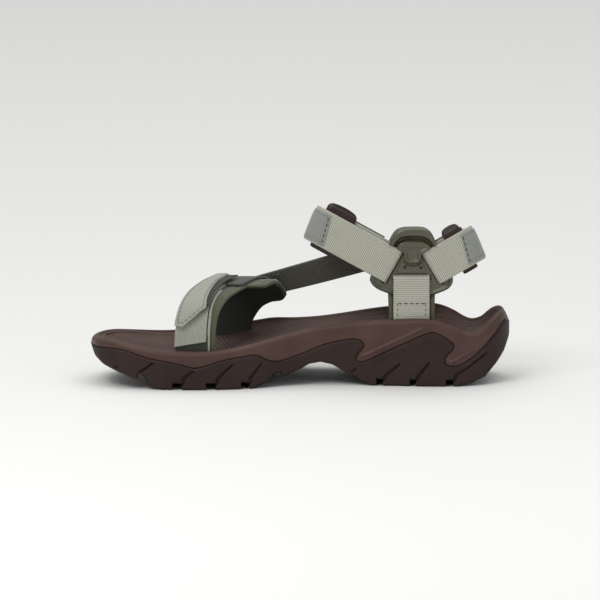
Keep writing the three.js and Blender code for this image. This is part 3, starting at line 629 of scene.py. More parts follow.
# %% footbed
def bed_height(x, y, d):
    floor = height_on(BED, x)
    rim = rim_height(x, y) - 1.6
    cup = np.where(x > 20, 15.0, 9.0)
    z = floor + np.maximum(rim - floor, 0) * (1 - np.clip(d / cup, 0, 1)) ** 2.2
    from_heel = x_heel - 6 - x
    z = np.maximum(z, floor + np.maximum(rim - floor, 0) * (1 - np.clip(from_heel / 20, 0, 1)) ** 2)
    from_edge = np.minimum(d, x - x_toe - 5)
    toe_area = smooth(from_edge, 6.5, 7.5) * (1 - smooth(x + 0.2 * y, -45, -40))
    ribs = 0.5 + 0.5 * np.sin((x + 0.14 * y) * 2 * math.pi / 3.0)
    z = z + 1.1 * toe_area * (ribs - 0.5)
    z = z - 1.3 * smooth(from_edge, 4.6, 5.6) * (1 - smooth(x, -50, -38))
    lines = np.sin(np.minimum(d, from_heel * 0.8) * 2 * math.pi / 2.6 + 0.05 * x)
    return z + 0.22 * lines * smooth(x, 30, 60) * smooth(np.minimum(d, from_heel), 0.6, 2.5)


bed = ladder(loop_points(-5.6, loop_rim), 150, bed_height)
footbed = make_object("footbed_skin", bed.reshape(-1, 3), grid_faces(n_col, 150), FOOTBED)
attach(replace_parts(footbed, "footbed"), "shoe")
for node, finish, name in (("shank", SHANK, "shank_plastic"), ("heel_cushion", CUSHION, "cushion_foam")):
    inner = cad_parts[node]
    inner.data.materials.clear()
    inner.data.materials.append(finish)
print("footbed height range", round(bed[..., 2].min(), 1), round(bed[..., 2].max(), 1))


# %% [markdown]
# Each collar loop leaves its stay, runs along the ankle at a slope and turns round a tight bend at the
# end. A strap of the loop is a line seen from above its edge, (u, y), carried up its own width v. The
# lateral side of the collar sits lower than the medial side, so the whole loop leans a little across the
# shoe.

# %% collar loops
COLLAR_HALF, BEND, STRAP, WEB = 26.1, 6.1, 25.0, 1.6
LATERAL_DROP = 8.0
BEND_LEAN = 2.4
FOLD = 2.05
OUTER_LEG = COLLAR_HALF + 2 * FOLD
LOOPS = {"instep": {"facing": -1, "slope": math.radians(28.9), "x": 62.5, "z": 83.4, "length": 57.0,
                    "keeper": 20.0, "keeper_ahead": 4.9, "patch_rear": 48.9},
         "heel": {"facing": 1, "slope": math.radians(30), "x": 93.0, "z": 82.4, "length": 29.1,
                  "keeper": 11.0, "keeper_ahead": 3.2, "patch_rear": 23.6}}


def on_loop(loop_unit, u, y, v):
    """A point of a collar loop in the shoe's frame. The bend leans out a little toward its upper edge."""
    end = loop_unit["length"]
    u = u + BEND_LEAN * smooth(v, -13, 13) * smooth(u, end - 16, end - 1)
    cos, sin = math.cos(loop_unit["slope"]), math.sin(loop_unit["slope"])
    x = loop_unit["x"] + loop_unit["facing"] * (u * cos - v * sin)
    z = loop_unit["z"] + u * sin + v * cos - y * LATERAL_DROP / (2 * COLLAR_HALF) - LATERAL_DROP / 2
    return np.stack([x, y, z], axis=-1)


def arc(centre, radius, start, end, steps=14):
    a = np.radians(np.linspace(start, end, steps))
    return np.stack([centre[0] + radius * np.cos(a), centre[1] + radius * np.sin(a)], axis=1)


def loop_line(loop_unit, start, end, offset=0.0, lateral=True):
    """The loop's line offset outward: lateral leg, round the bend, medial leg."""
    turn = loop_unit["length"] - BEND
    radius, side = BEND + offset, COLLAR_HALF + offset
    pieces = []
    if lateral:
        pieces += [[(start, side)], arc((turn, COLLAR_HALF - BEND), radius, 90, 0)]
    else:
        pieces += [[(loop_unit["length"] + offset, BEND - COLLAR_HALF + start)]]
    pieces += [arc((turn, BEND - COLLAR_HALF), radius, 0, -90), [(end, -side)]]
    return np.concatenate([np.atleast_2d(np.array(p, dtype=float)) for p in pieces])


def strap_surface(loop_unit, line, width, ease=None, rise=None):
    """surface(t, w) for sheet(): along the line and up the strap; ease and rise shift it locally."""
    def surface(t, w):
        spot = at(line, t)
        v = (w - 0.5) * width
        if ease is not None:
            spot = spot + ease(t, v)
        if rise is not None:
            v = v + rise(spot)
        return on_loop(loop_unit, spot[..., 0], spot[..., 1], v)
    return surface


def ribs(pitch, height):
    """Cross ribs as real relief: rounded rows across the strap, dipping a little at every warp thread."""
    def relief(length, width):
        row = np.sin(length * 2 * math.pi / pitch)
        return height * (0.5 + 0.5 * row) * (0.85 + 0.15 * np.sin(width * 2 * math.pi / 1.9 + row))
    return relief


def add(piece, body, slot_name, *nodes):
    if nodes:
        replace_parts(piece, *nodes)
    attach(piece, body)
    return piece


def fold(end, side, towards=-1, span=180):
    """Webbing turned round a stay's bar: a half circle past the slot, from inner leg to outer leg."""
    a = np.radians(np.linspace(0, span, 12))
    return np.stack([end + towards * FOLD * np.sin(a), side * (COLLAR_HALF + FOLD - FOLD * np.cos(a))],
                    axis=1)


LATERAL_LEG = 16.0
TAB_END = 16.0
for name, loop_unit in LOOPS.items():
    lateral_fold = fold(0, 1)[::-1]
    line = np.concatenate([[(LATERAL_LEG, OUTER_LEG)], lateral_fold, loop_line(loop_unit, 0, 0)[1:-1],
                           fold(0, -1, span=95)])
    total = along_line(line)[-1]
    out = -loop_unit["facing"]
    far_end = loop_unit["length"] - BEND

    def shown_edge(spot, far_end=far_end):
        """On the side nearer the foot the inner strap rides up a little between the stay and the bend."""
        window = smooth(spot[..., 0], 3, 9) * (1 - smooth(spot[..., 0], far_end - 3, far_end + 3))
        return 2.0 * window * (spot[..., 1] < 0)

    web = sheet(f"{name}_webbing_strap", strap_surface(loop_unit, line, STRAP, rise=shown_edge), WEB,
                (total, STRAP), WEBBING, steps=(int(total / 0.42), 34), edge=0.7, relief=ribs(1.3, 0.12),
                out=out, both=True)
    add(web, "shoe", "webbing", f"{name}_webbing")

    outer_run = loop_line(loop_unit, TAB_END, 0, 2 * FOLD, lateral=False)
    tab_line = np.concatenate([outer_run[:-1], fold(0, -1)[::-1][:7]])
    tab_total = along_line(tab_line)[-1]
    tab_web = sheet(f"{name}_tab_strap", strap_surface(loop_unit, tab_line, STRAP), WEB,
                    (tab_total, STRAP), WEBBING, steps=(int(tab_total / 0.3), 40), edge=0.7,
                    relief=ribs(1.3, 0.16), out=out, both=True)
    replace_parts(tab_web, f"{name}_tab")
    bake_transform(tab_web)
    print(name, "webbing", round(total, 1), "mm, tab", round(tab_total, 1), "mm")


# %% [markdown]
# Behind each loop lies a foam pad in brushed cloth, a little wider than the strap, so that its edge shows
# as a soft roll along the strap. The pads are only four millimetres thick, thinner than a cloth
# simulation's remesh would keep, so their fullness is given: thick in the middle, pinched at a
# seam near each edge.

# %% pads and pile strips
PAD_HEIGHT, PAD_THICK, GAP, PILE_THICK = 30.0, 4.0, 0.3, 0.8
PAD_SHOWN = 27.4
PAD_START = {"instep": 13.0, "heel": 9.5}


def pinched(length, width, half_width, seam=2.6):
    """Fullness of a pad: a seam line near each long edge, soft puckers along it, a crowned middle."""
    from_edge = half_width - np.abs(width)
    groove = -0.45 * np.exp(-((from_edge - seam) / 0.55) ** 2)
    pucker = 0.10 * np.sin(length * 2 * math.pi / 3.1) * np.exp(-((from_edge - seam) / 1.6) ** 2)
    return groove + pucker + 0.12 * np.sin(length * 0.31 + 1.3) * np.clip(from_edge / 4, 0, 1)


def pad_relief(half_width):
    return lambda length, width: pinched(length, width, half_width)


for name, loop_unit in LOOPS.items():
    middle = -(WEB / 2 + GAP + PAD_THICK / 2)
    pad_line = loop_line(loop_unit, PAD_START[name], PAD_START[name], middle)
    total = along_line(pad_line)[-1]
    pad_surface = strap_surface(loop_unit, pad_line, PAD_SHOWN,
                                rise=lambda spot: (PAD_HEIGHT - PAD_SHOWN) / 2 + 0.6)
    pad = sheet(f"{name}_pad_cloth", pad_surface, PAD_THICK - 0.3, (total, PAD_SHOWN), LINER,
                steps=(int(total / 0.7), 40), edge=2.0, relief=pad_relief(PAD_SHOWN / 2),
                out=-loop_unit["facing"], both=True)
    add(pad, "shoe", "liner_fabric", f"{name}_pad")

    face_x = loop_unit["length"]
    for key, body, slot_part, low in (("loop_strip", "shoe", FUZZ, WEB / 2 + GAP),
                                      ("tab_hook", f"{name}_tab_body", PILE,
                                       WEB / 2 + 2 * GAP + PILE_THICK)):
        offset = low + PILE_THICK / 2
        strip_line = np.array([(face_x + offset, BEND - COLLAR_HALF + 15),
                               (face_x + offset, BEND - COLLAR_HALF)])
        strip = sheet(f"{name}_{key}_pile", strap_surface(loop_unit, strip_line, STRAP - 3), PILE_THICK,
                      (15, STRAP - 3), slot_part, steps=(24, 34), edge=0.3)
        add(strip, body, "pile", f"{name}_{key}")
    print(name, "pad", round(total, 1), "mm long")

# %% [markdown]
# A rubber keeper holds the pad and the inner strap together. It is a flat moulded ring; along its top
# runs a thicker grip of two ridges with a deep groove between them, rounded off at both ends.

# %% keepers
KEEPER_WALL = 1.9


def rounded_box(low, high, rise, corner, count=12):
    """A closed ring of (y, v) points round a rounded rectangle, starting at its lower outer corner."""
    ring = []
    spots = [((high - corner, -rise + corner), -90), ((high - corner, rise - corner), 0),
             ((low + corner, rise - corner), 90), ((low + corner, -rise + corner), 180)]
    for centre, start in spots:
        ring.append(arc(centre, corner, start, start + 90, count))
    points = np.concatenate(ring)
    return at(np.concatenate([points, points[:1]]), np.linspace(0, 1, 161)[:-1])


def keeper_mesh(name, loop_unit):
    low, high = -(COLLAR_HALF + WEB / 2 + GAP), -(COLLAR_HALF - WEB / 2 - 2 * GAP - PAD_THICK)
    rise = PAD_HEIGHT / 2 + GAP
    inner = rounded_box(low, high, rise, 1.0)
    outer = rounded_box(low - KEEPER_WALL, high + KEEPER_WALL, rise + KEEPER_WALL, 2.6)
    for ring in (inner, outer):
        ring[:, 1] = np.where(ring[:, 1] < 0, ring[:, 1] * 0.88, ring[:, 1])
    turn = loop_unit["length"] - BEND
    ahead = loop_unit["keeper_ahead"]
    steps = edge_steps(34, 0.14)
    swell = rounded(steps, 0.14)
    v, y = outer[:, 1], outer[:, 0]
    top = smooth(v, rise - 2.5, rise + 0.6)
    middle = (low + high) / 2
    groove = np.exp(-((y - low - 3.0) / 0.95) ** 2)
    crest = np.clip(1 - np.abs(y - middle) / (abs(high - low) / 2 + 1.4), 0, 1) ** 0.3
    crest = crest * (0.28 + 1.05 * smooth(y, low + 2.6, high - 1.5))
    rings = []
    for s, fat in zip(steps, swell):
        u = turn - loop_unit["keeper"] * (1 - s)
        grip = 2.4 * np.sin(np.clip(s, 0, 1) * math.pi) ** 0.45
        lift = top * crest * grip - 1.7 * top * groove * np.sin(s * math.pi) ** 0.3
        grown = inner + (outer - inner) * (0.35 + 0.65 * fat)
        rings.append(np.stack([u + ahead + 0 * v, grown[:, 0], grown[:, 1] + lift * fat], axis=1))
    for s in (1.0, 0.5, 0.0):
        u = turn - loop_unit["keeper"] * (1 - s)
        rings.append(np.stack([u + ahead + 0 * v, inner[:, 0], inner[:, 1]], axis=1))
    rings = np.stack(rings + rings[:1])
    past_turn = np.clip(rings[..., 0] - turn, 0, 7)
    rings[..., 1] += 8.5 - np.sqrt(8.5 ** 2 - past_turn ** 2)
    points = on_loop(loop_unit, rings[..., 0], rings[..., 1], rings[..., 2])
    faces = grid_faces(len(rings), points.shape[1], wrap=True, flip=loop_unit["facing"] > 0)
    return make_object(f"{name}_keeper_ring", points.reshape(-1, 3), faces, KEEPER)


for name, loop_unit in LOOPS.items():
    keeper = keeper_mesh(name, loop_unit)
    add(keeper, f"{name}_keeper_body", "keeper_plastic", f"{name}_keeper")
    print(name, "keeper", loop_unit["keeper"], "mm wide,", len(keeper.data.polygons), "faces")

# %% [markdown]
# The tab is the strap's free outer end. A folded patch of smooth cloth is sewn over its last part, a
# little narrower than the webbing, so the woven edge shows above and below. Its rear edge is stitched
# slightly askew.

# %% tab patches
PATCH_WIDTH, PATCH_SLANT = 21.0, 1.75
for name, loop_unit in LOOPS.items():
    lift = 2 * FOLD + WEB / 2 + 0.35
    line = loop_line(loop_unit, 16.6, loop_unit["patch_rear"], lift, lateral=False)
    total = along_line(line)[-1]

    def slanted(t, v):
        push = PATCH_SLANT * (v / PATCH_WIDTH * 2) * np.clip(t * 4 - 3, 0, 1)
        return np.stack([push, np.zeros_like(push)], axis=-1)

    def patch_relief(length, width, total=total):
        from_edge = np.minimum(PATCH_WIDTH / 2 - np.abs(width), total - length)
        seam = -0.32 * np.exp(-((from_edge - 1.7) / 0.35) ** 2)
        pillow = 0.18 * smooth(from_edge, 1.8, 6)
        crease = 0.07 * np.sin(width * 0.9 + length * 0.5) * smooth(from_edge, 2, 5)
        return seam + pillow + crease

    patch_surface = strap_surface(loop_unit, line, PATCH_WIDTH, slanted, lambda spot: -0.6)
    patch = sheet(f"{name}_patch", patch_surface, 1.0, (total, PATCH_WIDTH), PATCH,
                  steps=(int(total / 0.35), 56), edge=0.6, relief=patch_relief, out=-loop_unit["facing"])
    add(patch, f"{name}_tab_body", "end_patch", f"{name}_tab_patch")
    side_row = PATCH_WIDTH / 2 - 1.7
    thin = stitches(f"{name}_patch_thread", patch_surface, (total, PATCH_WIDTH),
                    [[(2, side_row), (total - 2, side_row)], [(2, -side_row), (total - 2, -side_row)]],
                    0.25, THREAD, out=-loop_unit["facing"], length=1.9, space=0.9, radius=0.2)
    add(thin, f"{name}_tab_body", "end_patch")
    bold = stitches(f"{name}_patch_bar", patch_surface, (total, PATCH_WIDTH),
                    [[(total - 1.6, -side_row), (total - 1.6, side_row)]], 0.42, DARK_THREAD,
                    out=-loop_unit["facing"], length=2.6, space=1.2, radius=0.32)
    add(bold, f"{name}_tab_body", "end_patch")
    print(name, "patch", round(total, 1), "mm round the bend")

# %% [markdown]
# Each stay hangs on a strap that comes up out of the sole, turns over a bar in the stay and goes down
# again outside it. Between the two legs is a backing of padded cloth with rolled edges that show beside
# the webbing.

# %% base straps
BASE_CENTRE, BASE_BAR, BASE_FOOT, STAY_FOOT = 77.0, 73.6, 24.0, 62.0
BOX_TOP, BOX_HALF = 57.2, 9.8
BACKING_RISE, BACKING_WIDTH = 4.5, 32.4
SIDES = {"medial": (-1, 0.0), "lateral": (1, LATERAL_DROP)}
for name, (side, drop) in SIDES.items():
    bar = BASE_BAR - drop
    turn_over = np.radians(np.linspace(0, 180, 18))
    over = np.stack([COLLAR_HALF + FOLD - FOLD * np.cos(turn_over), bar + FOLD * np.sin(turn_over)], axis=1)
    line = np.concatenate([[(COLLAR_HALF, BASE_FOOT)], over, [(OUTER_LEG, BASE_FOOT)]])
    total = along_line(line)[-1]

    def base_surface(t, w, line=line, side=side):
        spot = at(line, t)
        x = BASE_CENTRE + (w - 0.5) * STRAP
        return np.stack([x, side * spot[..., 0], spot[..., 1]], axis=-1)

    base = sheet(f"{name}_base_strap", base_surface, WEB, (total, STRAP), WEBBING,
                 steps=(int(total / 0.4), 30), edge=0.7, relief=ribs(1.45, 0.18), out=-side, both=True)
    add(base, "shoe", "webbing", f"{name}_base_webbing")

    outer_start = total - (bar - BASE_FOOT)
    row = outer_start + (bar - BOX_TOP + drop)
    end_row = outer_start + (bar - BASE_FOOT) - 4
    top_row = stitches(f"{name}_box_bar", base_surface, (total, STRAP), [[(row, -9.2), (row, 9.4)]], 1.05,
                       DARK_THREAD, out=-side, length=2.4, space=1.5, radius=0.34)
    sides = stitches(f"{name}_box_thread", base_surface, (total, STRAP),
                     [[(row, half), (end_row, half)] for half in (-BOX_HALF, BOX_HALF)], 1.05,
                     DARK_THREAD, out=-side, length=1.8, space=1.6, radius=0.24)
    add(top_row, "shoe", "webbing")
    add(sides, "shoe", "webbing")

    backing_top = STAY_FOOT - drop + BACKING_RISE

    def backing_surface(t, w, side=side, backing_top=backing_top):
        z = BASE_FOOT + t * (backing_top - BASE_FOOT)
        x = BASE_CENTRE + 0.3 + (w - 0.5) * 33 * (1 - 0.05 * np.sin(t * math.pi * 0.9))
        behind_plate = smooth(z, backing_top - 7, backing_top - 4.8)
        y = side * (COLLAR_HALF + WEB / 2 + GAP + 0.95 - 2.1 * behind_plate)
        return np.stack([x, y, z], axis=-1)

    def rolled(length, width):
        from_edge = BACKING_WIDTH / 2 - np.abs(width)
        roll = 0.75 * np.exp(-((from_edge - 1.3) / 1.0) ** 2)
        return roll - 0.45 * np.exp(-((from_edge - 3.2) / 0.5) ** 2)

    backing = sheet(f"{name}_backing_cloth", backing_surface, 1.9, (backing_top - BASE_FOOT, BACKING_WIDTH),
                    LINER, steps=(50, 60), edge=0.9, relief=rolled, out=side)
    add(backing, "shoe", "liner_fabric", f"{name}_base_backing")
    print(name, "base strap", round(total, 1), "mm, backing up to", round(backing_top, 1), "mm")

# %% [markdown]
# One flat dark strap joins the forefoot to the ankle loop on the far side of the foot. Its front end lies
# on the leaning shoulder of the forefoot and its rear end stands upright on the loop, so it twists as it
# runs, and it sags a little. At each end a box of stitches with one diagonal holds it, sewn through from
# both faces.

# %% connector
FRONT, REAR = np.array([-28, 45.4, 56.5]), np.array([56, OUTER_LEG + WEB + GAP + 0.5, 81.0])
CONNECTOR_WIDTH = 18.6
CONNECTOR_RISE = 1.3


def connector_surface(t, w):
    tilt = math.radians(30) * (1 - t)
    outer = np.stack([np.zeros_like(t), np.cos(tilt), np.sin(tilt)], axis=-1)
    up = unit(np.cross(unit(REAR - FRONT), outer))
    sag = -1.4 * np.sin(t * math.pi)
    middle = FRONT + (REAR - FRONT) * t[..., None] + outer * sag[..., None] * 0.6
    return middle + up * ((w - 0.5) * CONNECTOR_WIDTH + CONNECTOR_RISE)[..., None]


connector_length = float(np.linalg.norm(REAR - FRONT))
connector = sheet("connector_webbing", connector_surface, WEB, (connector_length, CONNECTOR_WIDTH),
                  DARK_WEBBING, steps=(int(connector_length / 0.34), 30), edge=0.7,
                  relief=ribs(1.5, 0.25), out=1, both=True)
add(connector, "shoe", "dark_webbing", "connector_strap")

sewn_runs = {"front": (3.0, 17.0), "rear": (connector_length - 13.0, connector_length - 3.0)}
for end, (near, far) in sewn_runs.items():
    for side, sign in (("outer", -1), ("inner", 1)):
        half = CONNECTOR_WIDTH / 2 - 2.6
        box = [(near, -half), (far, -half), (far, half), (near, half), (near, -half)]
        sewn = stitches(f"connector_{end}_{side}_box", connector_surface,
                        (connector_length, CONNECTOR_WIDTH), [box, [(near, -half), (far, half)]], 1.08,
                        THREAD, out=sign, length=2.0, space=1.1, radius=0.26)
        add(sewn, "shoe", "dark_webbing")
print("connector", round(connector_length, 1), "mm long")


# %% [markdown]
# A stay is an injection-moulded buckle plate. Its arch has a thick rounded rim, a deep groove under the
# rim, and a tongue that narrows between the two straps and ends in a rounded lip. Below it lies a flat
# panel with two ejector dimples, and the wings at both sides have a raised border. The face is made as a
# height map over the plate's outline; points near the outline are drawn onto it, so the edge is a clean
# line.

# %% stays
PLATE_INNER, PLATE, RAISED = 27.2, 1.9, 5.6
SLOT_HALF, SLOT_DEPTH = 12.75, 3.3
ARCH_TOP = [(62.3, 100.8), (64.4, 104.7), (67.2, 108), (71.5, 109.6), (78, 110), (85.8, 109.6), (89, 108.2),
            (91.8, 104.6), (93.9, 98.8)]
STAY_LINE = ARCH_TOP + [(100, 86), (105.8, 74), (105.2, 70.4), (102.8, 67.3), (97.8, 64.8), (90, 62.4),
                        (76.5, 62), (62, 63.6), (53.4, 66.9), (50.3, 69.4), (48.6, 72.5), (49.4, 76),
                        (56, 89)]
TONGUE = [(69.8, 100.4), (78, 101.1), (86.3, 100.2), (91.2, 96.6), (84.4, 91.6), (83.9, 88.6), (81.8, 85.9),
          (77.9, 84.9), (74.0, 85.9), (71.9, 88.6), (71.6, 91.6), (65.6, 96.4)]
UNDER_RIM = [(63.8, 91), (64.8, 95.2), (67.4, 100), (71.0, 102.4), (78, 103.0), (85.6, 102.4), (89.4, 100),
             (92.2, 95.2), (93.4, 91)]
DIMPLES = [(72.5, 82.6), (83.6, 82.2)]


def flat_on_loop(loop_unit, u, v):
    point = on_loop(loop_unit, float(u), -COLLAR_HALF, float(v))
    return point[0], point[2]


def signed(polygon, x, z):
    """Distance to a closed outline, negative inside."""
    closed = np.concatenate([polygon, polygon[:1]])
    return np.where(inside(polygon, x, z), -1, 1) * distance_to(closed, x, z)


stay_edge = curve_through(STAY_LINE, 10, closed=True)
slot_top = BASE_BAR + SLOT_DEPTH
slots = [np.array([(64.0, BASE_BAR), (90.0, BASE_BAR), (90.0, slot_top), (64.0, slot_top)])]
for loop_unit in LOOPS.values():
    corners = [(0.1, -SLOT_HALF), (0.1, SLOT_HALF), (-SLOT_DEPTH, SLOT_HALF), (-SLOT_DEPTH, -SLOT_HALF)]
    slots.append(np.array([flat_on_loop(loop_unit, u, v) for u, v in corners]))
raised_edge = np.array([flat_on_loop(LOOPS["instep"], 8.6, 13.4), *ARCH_TOP,
                        flat_on_loop(LOOPS["heel"], 8.2, 13.4), flat_on_loop(LOOPS["heel"], -3.7, 13.4),
                        (88.0, 78.0), (66.0, 78.0), flat_on_loop(LOOPS["instep"], -3.7, 13.4)])
tongue_edge = curve_through(TONGUE, 8, closed=True)
under_rim = curve_through(UNDER_RIM, 10)
STEP_MM = 0.36


def stay_field(x, z):
    """Signed distance to the plate's edge and slots, and the height of its outer face above the inner."""
    edge = signed(stay_edge, x, z)
    slot_gap = np.min([signed(slot, x, z) for slot in slots], axis=0)
    limit = np.maximum(edge, -slot_gap)
    from_edge = np.maximum(-edge, 0)
    raised = signed(raised_edge, x, z)
    height = PLATE - 0.35 + 0.9 * np.exp(-((from_edge - 1.5) / 1.0) ** 2)
    height = height - 0.35 * np.exp(-((from_edge - 3.4) / 0.8) ** 2)
    panel = 2.7 - 0.4 * smooth(84 - z, 0, 5)
    height = height + (panel - height) * (1 - smooth(raised, -1.0, 0.4))
    above_rim = inside(np.concatenate([under_rim, [(97, 96), (97, 120), (58, 120), (58, 96)]]), x, z)
    crown = RAISED + 0.3 - 0.9 * ((from_edge - 3.6) / 3.4) ** 2 * (from_edge < 7)
    height = np.where(above_rim & (raised < 0.6), np.maximum(crown, 3.5), height)
    tongue = signed(tongue_edge, x, z)
    dome = 5.2 - 1.7 * smooth(-tongue, 1.2, 3.6) * (1 - smooth(z, 94.5, 98.5)) - 0.25 * smooth(z, 97.5, 101)
    lip = 1 - smooth(tongue, -0.8, 0.0)
    height = np.where(tongue < 0, height * (1 - lip) + dome * lip, height)
    height = height - 3.9 * np.exp(-(distance_to(under_rim, x, z) / 1.3) ** 2)
    under_lip = np.exp(-((tongue - 0.9) / 0.9) ** 2) * (tongue > 0) * (z < 88)
    height = height - 1.0 * under_lip
    for dx, dz in DIMPLES:
        height = height + 0.5 * np.exp(-((np.hypot(x - dx, z - dz) - 1.7) / 0.5) ** 2)
        height = height - 1.3 * (1 - smooth(np.hypot(x - dx, z - dz), 0.7, 1.3))
    rounding = np.clip(-limit / 1.5, 0, 1)
    return limit, np.maximum(height - 1.3 * (1 - np.sqrt(1 - (1 - rounding) ** 2)), 0.5)


def stay_mesh(name, side, drop):
    xs, zs = np.arange(47.6, 107.2, STEP_MM), np.arange(61.0, 112.2, STEP_MM)
    x, z = np.meshgrid(xs, zs, indexing="ij")
    limit, _ = stay_field(x, z)
    for _ in range(3):
        gx, gz = np.gradient(limit, STEP_MM)
        pull = np.where(np.abs(limit) < 0.62 * STEP_MM, limit, 0)
        x, z = x - gx * pull, z - gz * pull
        now, _ = stay_field(x, z)
        limit = np.where(pull != 0, now, limit)
    limit, height = stay_field(x, z)
    keep = limit < 0.25 * STEP_MM
    rows, cols = x.shape
    front = np.stack([x, side * (PLATE_INNER + height), z - drop], axis=-1).reshape(-1, 3)
    back = np.stack([x, np.full_like(x, side * PLATE_INNER), z - drop], axis=-1).reshape(-1, 3)
    faces, edges = [], {}
    for i in range(rows - 1):
        for j in range(cols - 1):
            if keep[i, j] and keep[i + 1, j] and keep[i, j + 1] and keep[i + 1, j + 1]:
                a, b, c, d = i * cols + j, (i + 1) * cols + j, (i + 1) * cols + j + 1, i * cols + j + 1
                for p, q in ((a, b), (b, c), (c, d), (d, a)):
                    if (q, p) in edges:
                        del edges[(q, p)]
                    else:
                        edges[(p, q)] = True
                faces.append((a, b, c, d))
    count = rows * cols
    faces += [tuple(q + count for q in f[::-1]) for f in faces]
    faces += [(q, p, p + count, q + count) for p, q in edges]
    if side > 0:
        faces = [f[::-1] for f in faces]
    used = sorted({q for f in faces for q in f})
    renumber = {q: k for k, q in enumerate(used)}
    points = np.concatenate([front, back])[used]
    return make_object(f"{name}_stay_moulding", points, [tuple(renumber[q] for q in f) for f in faces],
                       STAY)


for name, (side, drop) in SIDES.items():
    stay = stay_mesh(name, side, drop)
    add(stay, "shoe", "stay_plastic", f"{name}_stay")
    print(name, "stay faces", len(stay.data.polygons))


# %% [markdown]
# The forefoot strap is a stack that goes over the foot: a padded liner, the ribbed webbing, a strip of
# loop pile, then the flap with its hook strip. Seen from the front they share one arch; each lies further
# out, and every band runs back toward the heel as it crosses the foot.

# %% forefoot strap
ARCH = curve_through([(-41.5, 14), (-41.5, 28), (-40.8, 40), (-36, 51), (-26, 57.8), (-12, 61), (4, 62.6),
                      (20, 63.4), (31, 61), (38.5, 53), (41.6, 42), (42.5, 30), (42.5, 14)], 24)
ARCH_OUT = left_of(ARCH)
ARCH_CENTRE, ARCH_LEAN, LINER_THICK = -50.8, 0.49, 3.0
HALF = STRAP / 2


def arch_share(y, z):
    """Share of the arch's length at its point nearest to (y, z)."""
    return along_line(ARCH)[np.hypot(ARCH[:, 0] - y, ARCH[:, 1] - z).argmin()] / along_line(ARCH)[-1]


def over_arch(s, offset):
    """Points at shares s of the arch, moved outward by offset."""
    return at(ARCH, s) + unit(at(ARCH_OUT, s)) * np.asarray(offset)[..., None]


def lean_back(spot, band_at):
    """Places points (y, z) of the arch along the shoe; every band runs back as it crosses the foot."""
    return np.stack([ARCH_CENTRE + band_at + ARCH_LEAN * spot[..., 0], spot[..., 0], spot[..., 1]], axis=-1)


def arch_surface(start, end, offset, low, high, bend=None):
    """surface(t, w): along the arch between two shares, offset outward; w runs up the strap's width."""
    def surface(t, w):
        far = offset if bend is None else offset + bend(t, w)
        return lean_back(over_arch(start + (end - start) * t, far), low + (high - low) * w)
    return surface


def arch_length(start, end, offset):
    return along_line(over_arch(np.linspace(start, end, 200), offset))[-1]


FOOT = 0.0
END = 1.0
flap_top = arch_share(10, 62.9)
web_low, web_top = arch_share(-41.5, 28), arch_share(-4, 61.8)
strip_low, strip_top = arch_share(-28, 56.8), arch_share(-8, 61.5)


def layer(n):
    """How far out the n-th band over the liner lies."""
    return LINER_THICK + GAP + n * (GAP + WEB)


print("arch length", round(along_line(ARCH)[-1], 1), "outward at its foot", ARCH_OUT[0].round(2))


# medial liner: a padded band with a double rolled edge at the back
def liner_relief(half_width):
    def relief(length, width):
        behind, before = half_width - width, half_width + width
        groove = -0.55 * np.exp(-((behind - 3.4) / 0.5) ** 2) - 0.4 * np.exp(-((before - 2.4) / 0.5) ** 2)
        soft = 0.10 * np.sin(length * 0.55) * np.sin(width * 0.5 + 0.8)
        return groove + soft
    return relief


def band(name, start, end, offset, low, high, thickness, material, relief=None, steps=0.5, edge=0.8,
         bend=None, across=34):
    total = arch_length(start, end, offset)
    return sheet(name, arch_surface(start, end, offset, low, high, bend), thickness, (total, high - low),
                 material, steps=(int(total / steps), across), edge=edge, relief=relief, out=-1)


medial_end = arch_share(1, 62.3)
liner_surface = arch_surface(FOOT, medial_end, LINER_THICK / 2, -HALF - 1, HALF + 0.6)
liner_length = arch_length(FOOT, medial_end, LINER_THICK / 2)
# Its inner face takes the darker liner copy, which is painted shade.
liner = sheet("forefoot_liner_cloth", liner_surface, LINER_THICK - 0.2, (liner_length, STRAP + 1.6), LINER,
              steps=(int(liner_length / 0.6), 60), edge=1.5, relief=liner_relief((STRAP + 1.6) / 2), out=-1,
              under_face_painted_shade=LINER_INSIDE_PAINTED_SHADE)
add(liner, "shoe", "liner_fabric", "forefoot_medial_liner")

REAR_TAPER = ([-60, -50, -36, -25, -8, 12], [2.0, 3.0, 8.5, 11.0, 15.0, 17.0])
WEB_TAPER = ([-60, -46, -43, -36, -25, -8, 5], [2.2, 2.4, 3.0, 5.0, 7.0, 9.0, 9.5])


def lengthwise_ribs(length, width):
    return 0.12 * (0.5 + 0.5 * np.sin(width * 2 * math.pi / 0.95))


def curl(t, w):
    """The cut end turns out a little from the foot."""
    return 1.1 * np.exp(-(t / 0.06) ** 2) * (0.6 + 0.4 * w)


def slant_cut(surface, rise):
    """Moves the lower end up on one side, so that the cut runs at a slant."""
    return lambda t, w: surface(t + rise * w * (1 - t), w)


def tapered_band(surface, narrowed=0):
    """Draws a band's rear edge forward as it climbs over the foot."""
    def drawn(t, w):
        spot = surface(t, w)
        spot[..., 0] -= (np.interp(spot[..., 1], *WEB_TAPER) + 1.9 * narrowed) * w
        return spot
    return drawn


web_plain = tapered_band(arch_surface(web_low, web_top, layer(0) + WEB / 2, -HALF - 1.2, HALF, curl), 1)
web_length = arch_length(web_low, web_top, layer(0) + WEB / 2)
web = sheet("forefoot_webbing_strap", slant_cut(web_plain, 3.6 / web_length), WEB, (web_length, STRAP),
            FINE_WEBBING, steps=(int(web_length / 0.5), 100), edge=0.5, relief=lengthwise_ribs, out=-1)
add(web, "shoe", "webbing", "forefoot_medial_webbing")
tail = band("forefoot_tail_pile", arch_share(-41.5, 22), arch_share(-41.3, 36), LINER_THICK + 0.75,
            -HALF - 1, HALF - 2.6, 1.2, PILE, edge=0.4)
add(tail, "shoe", "pile")


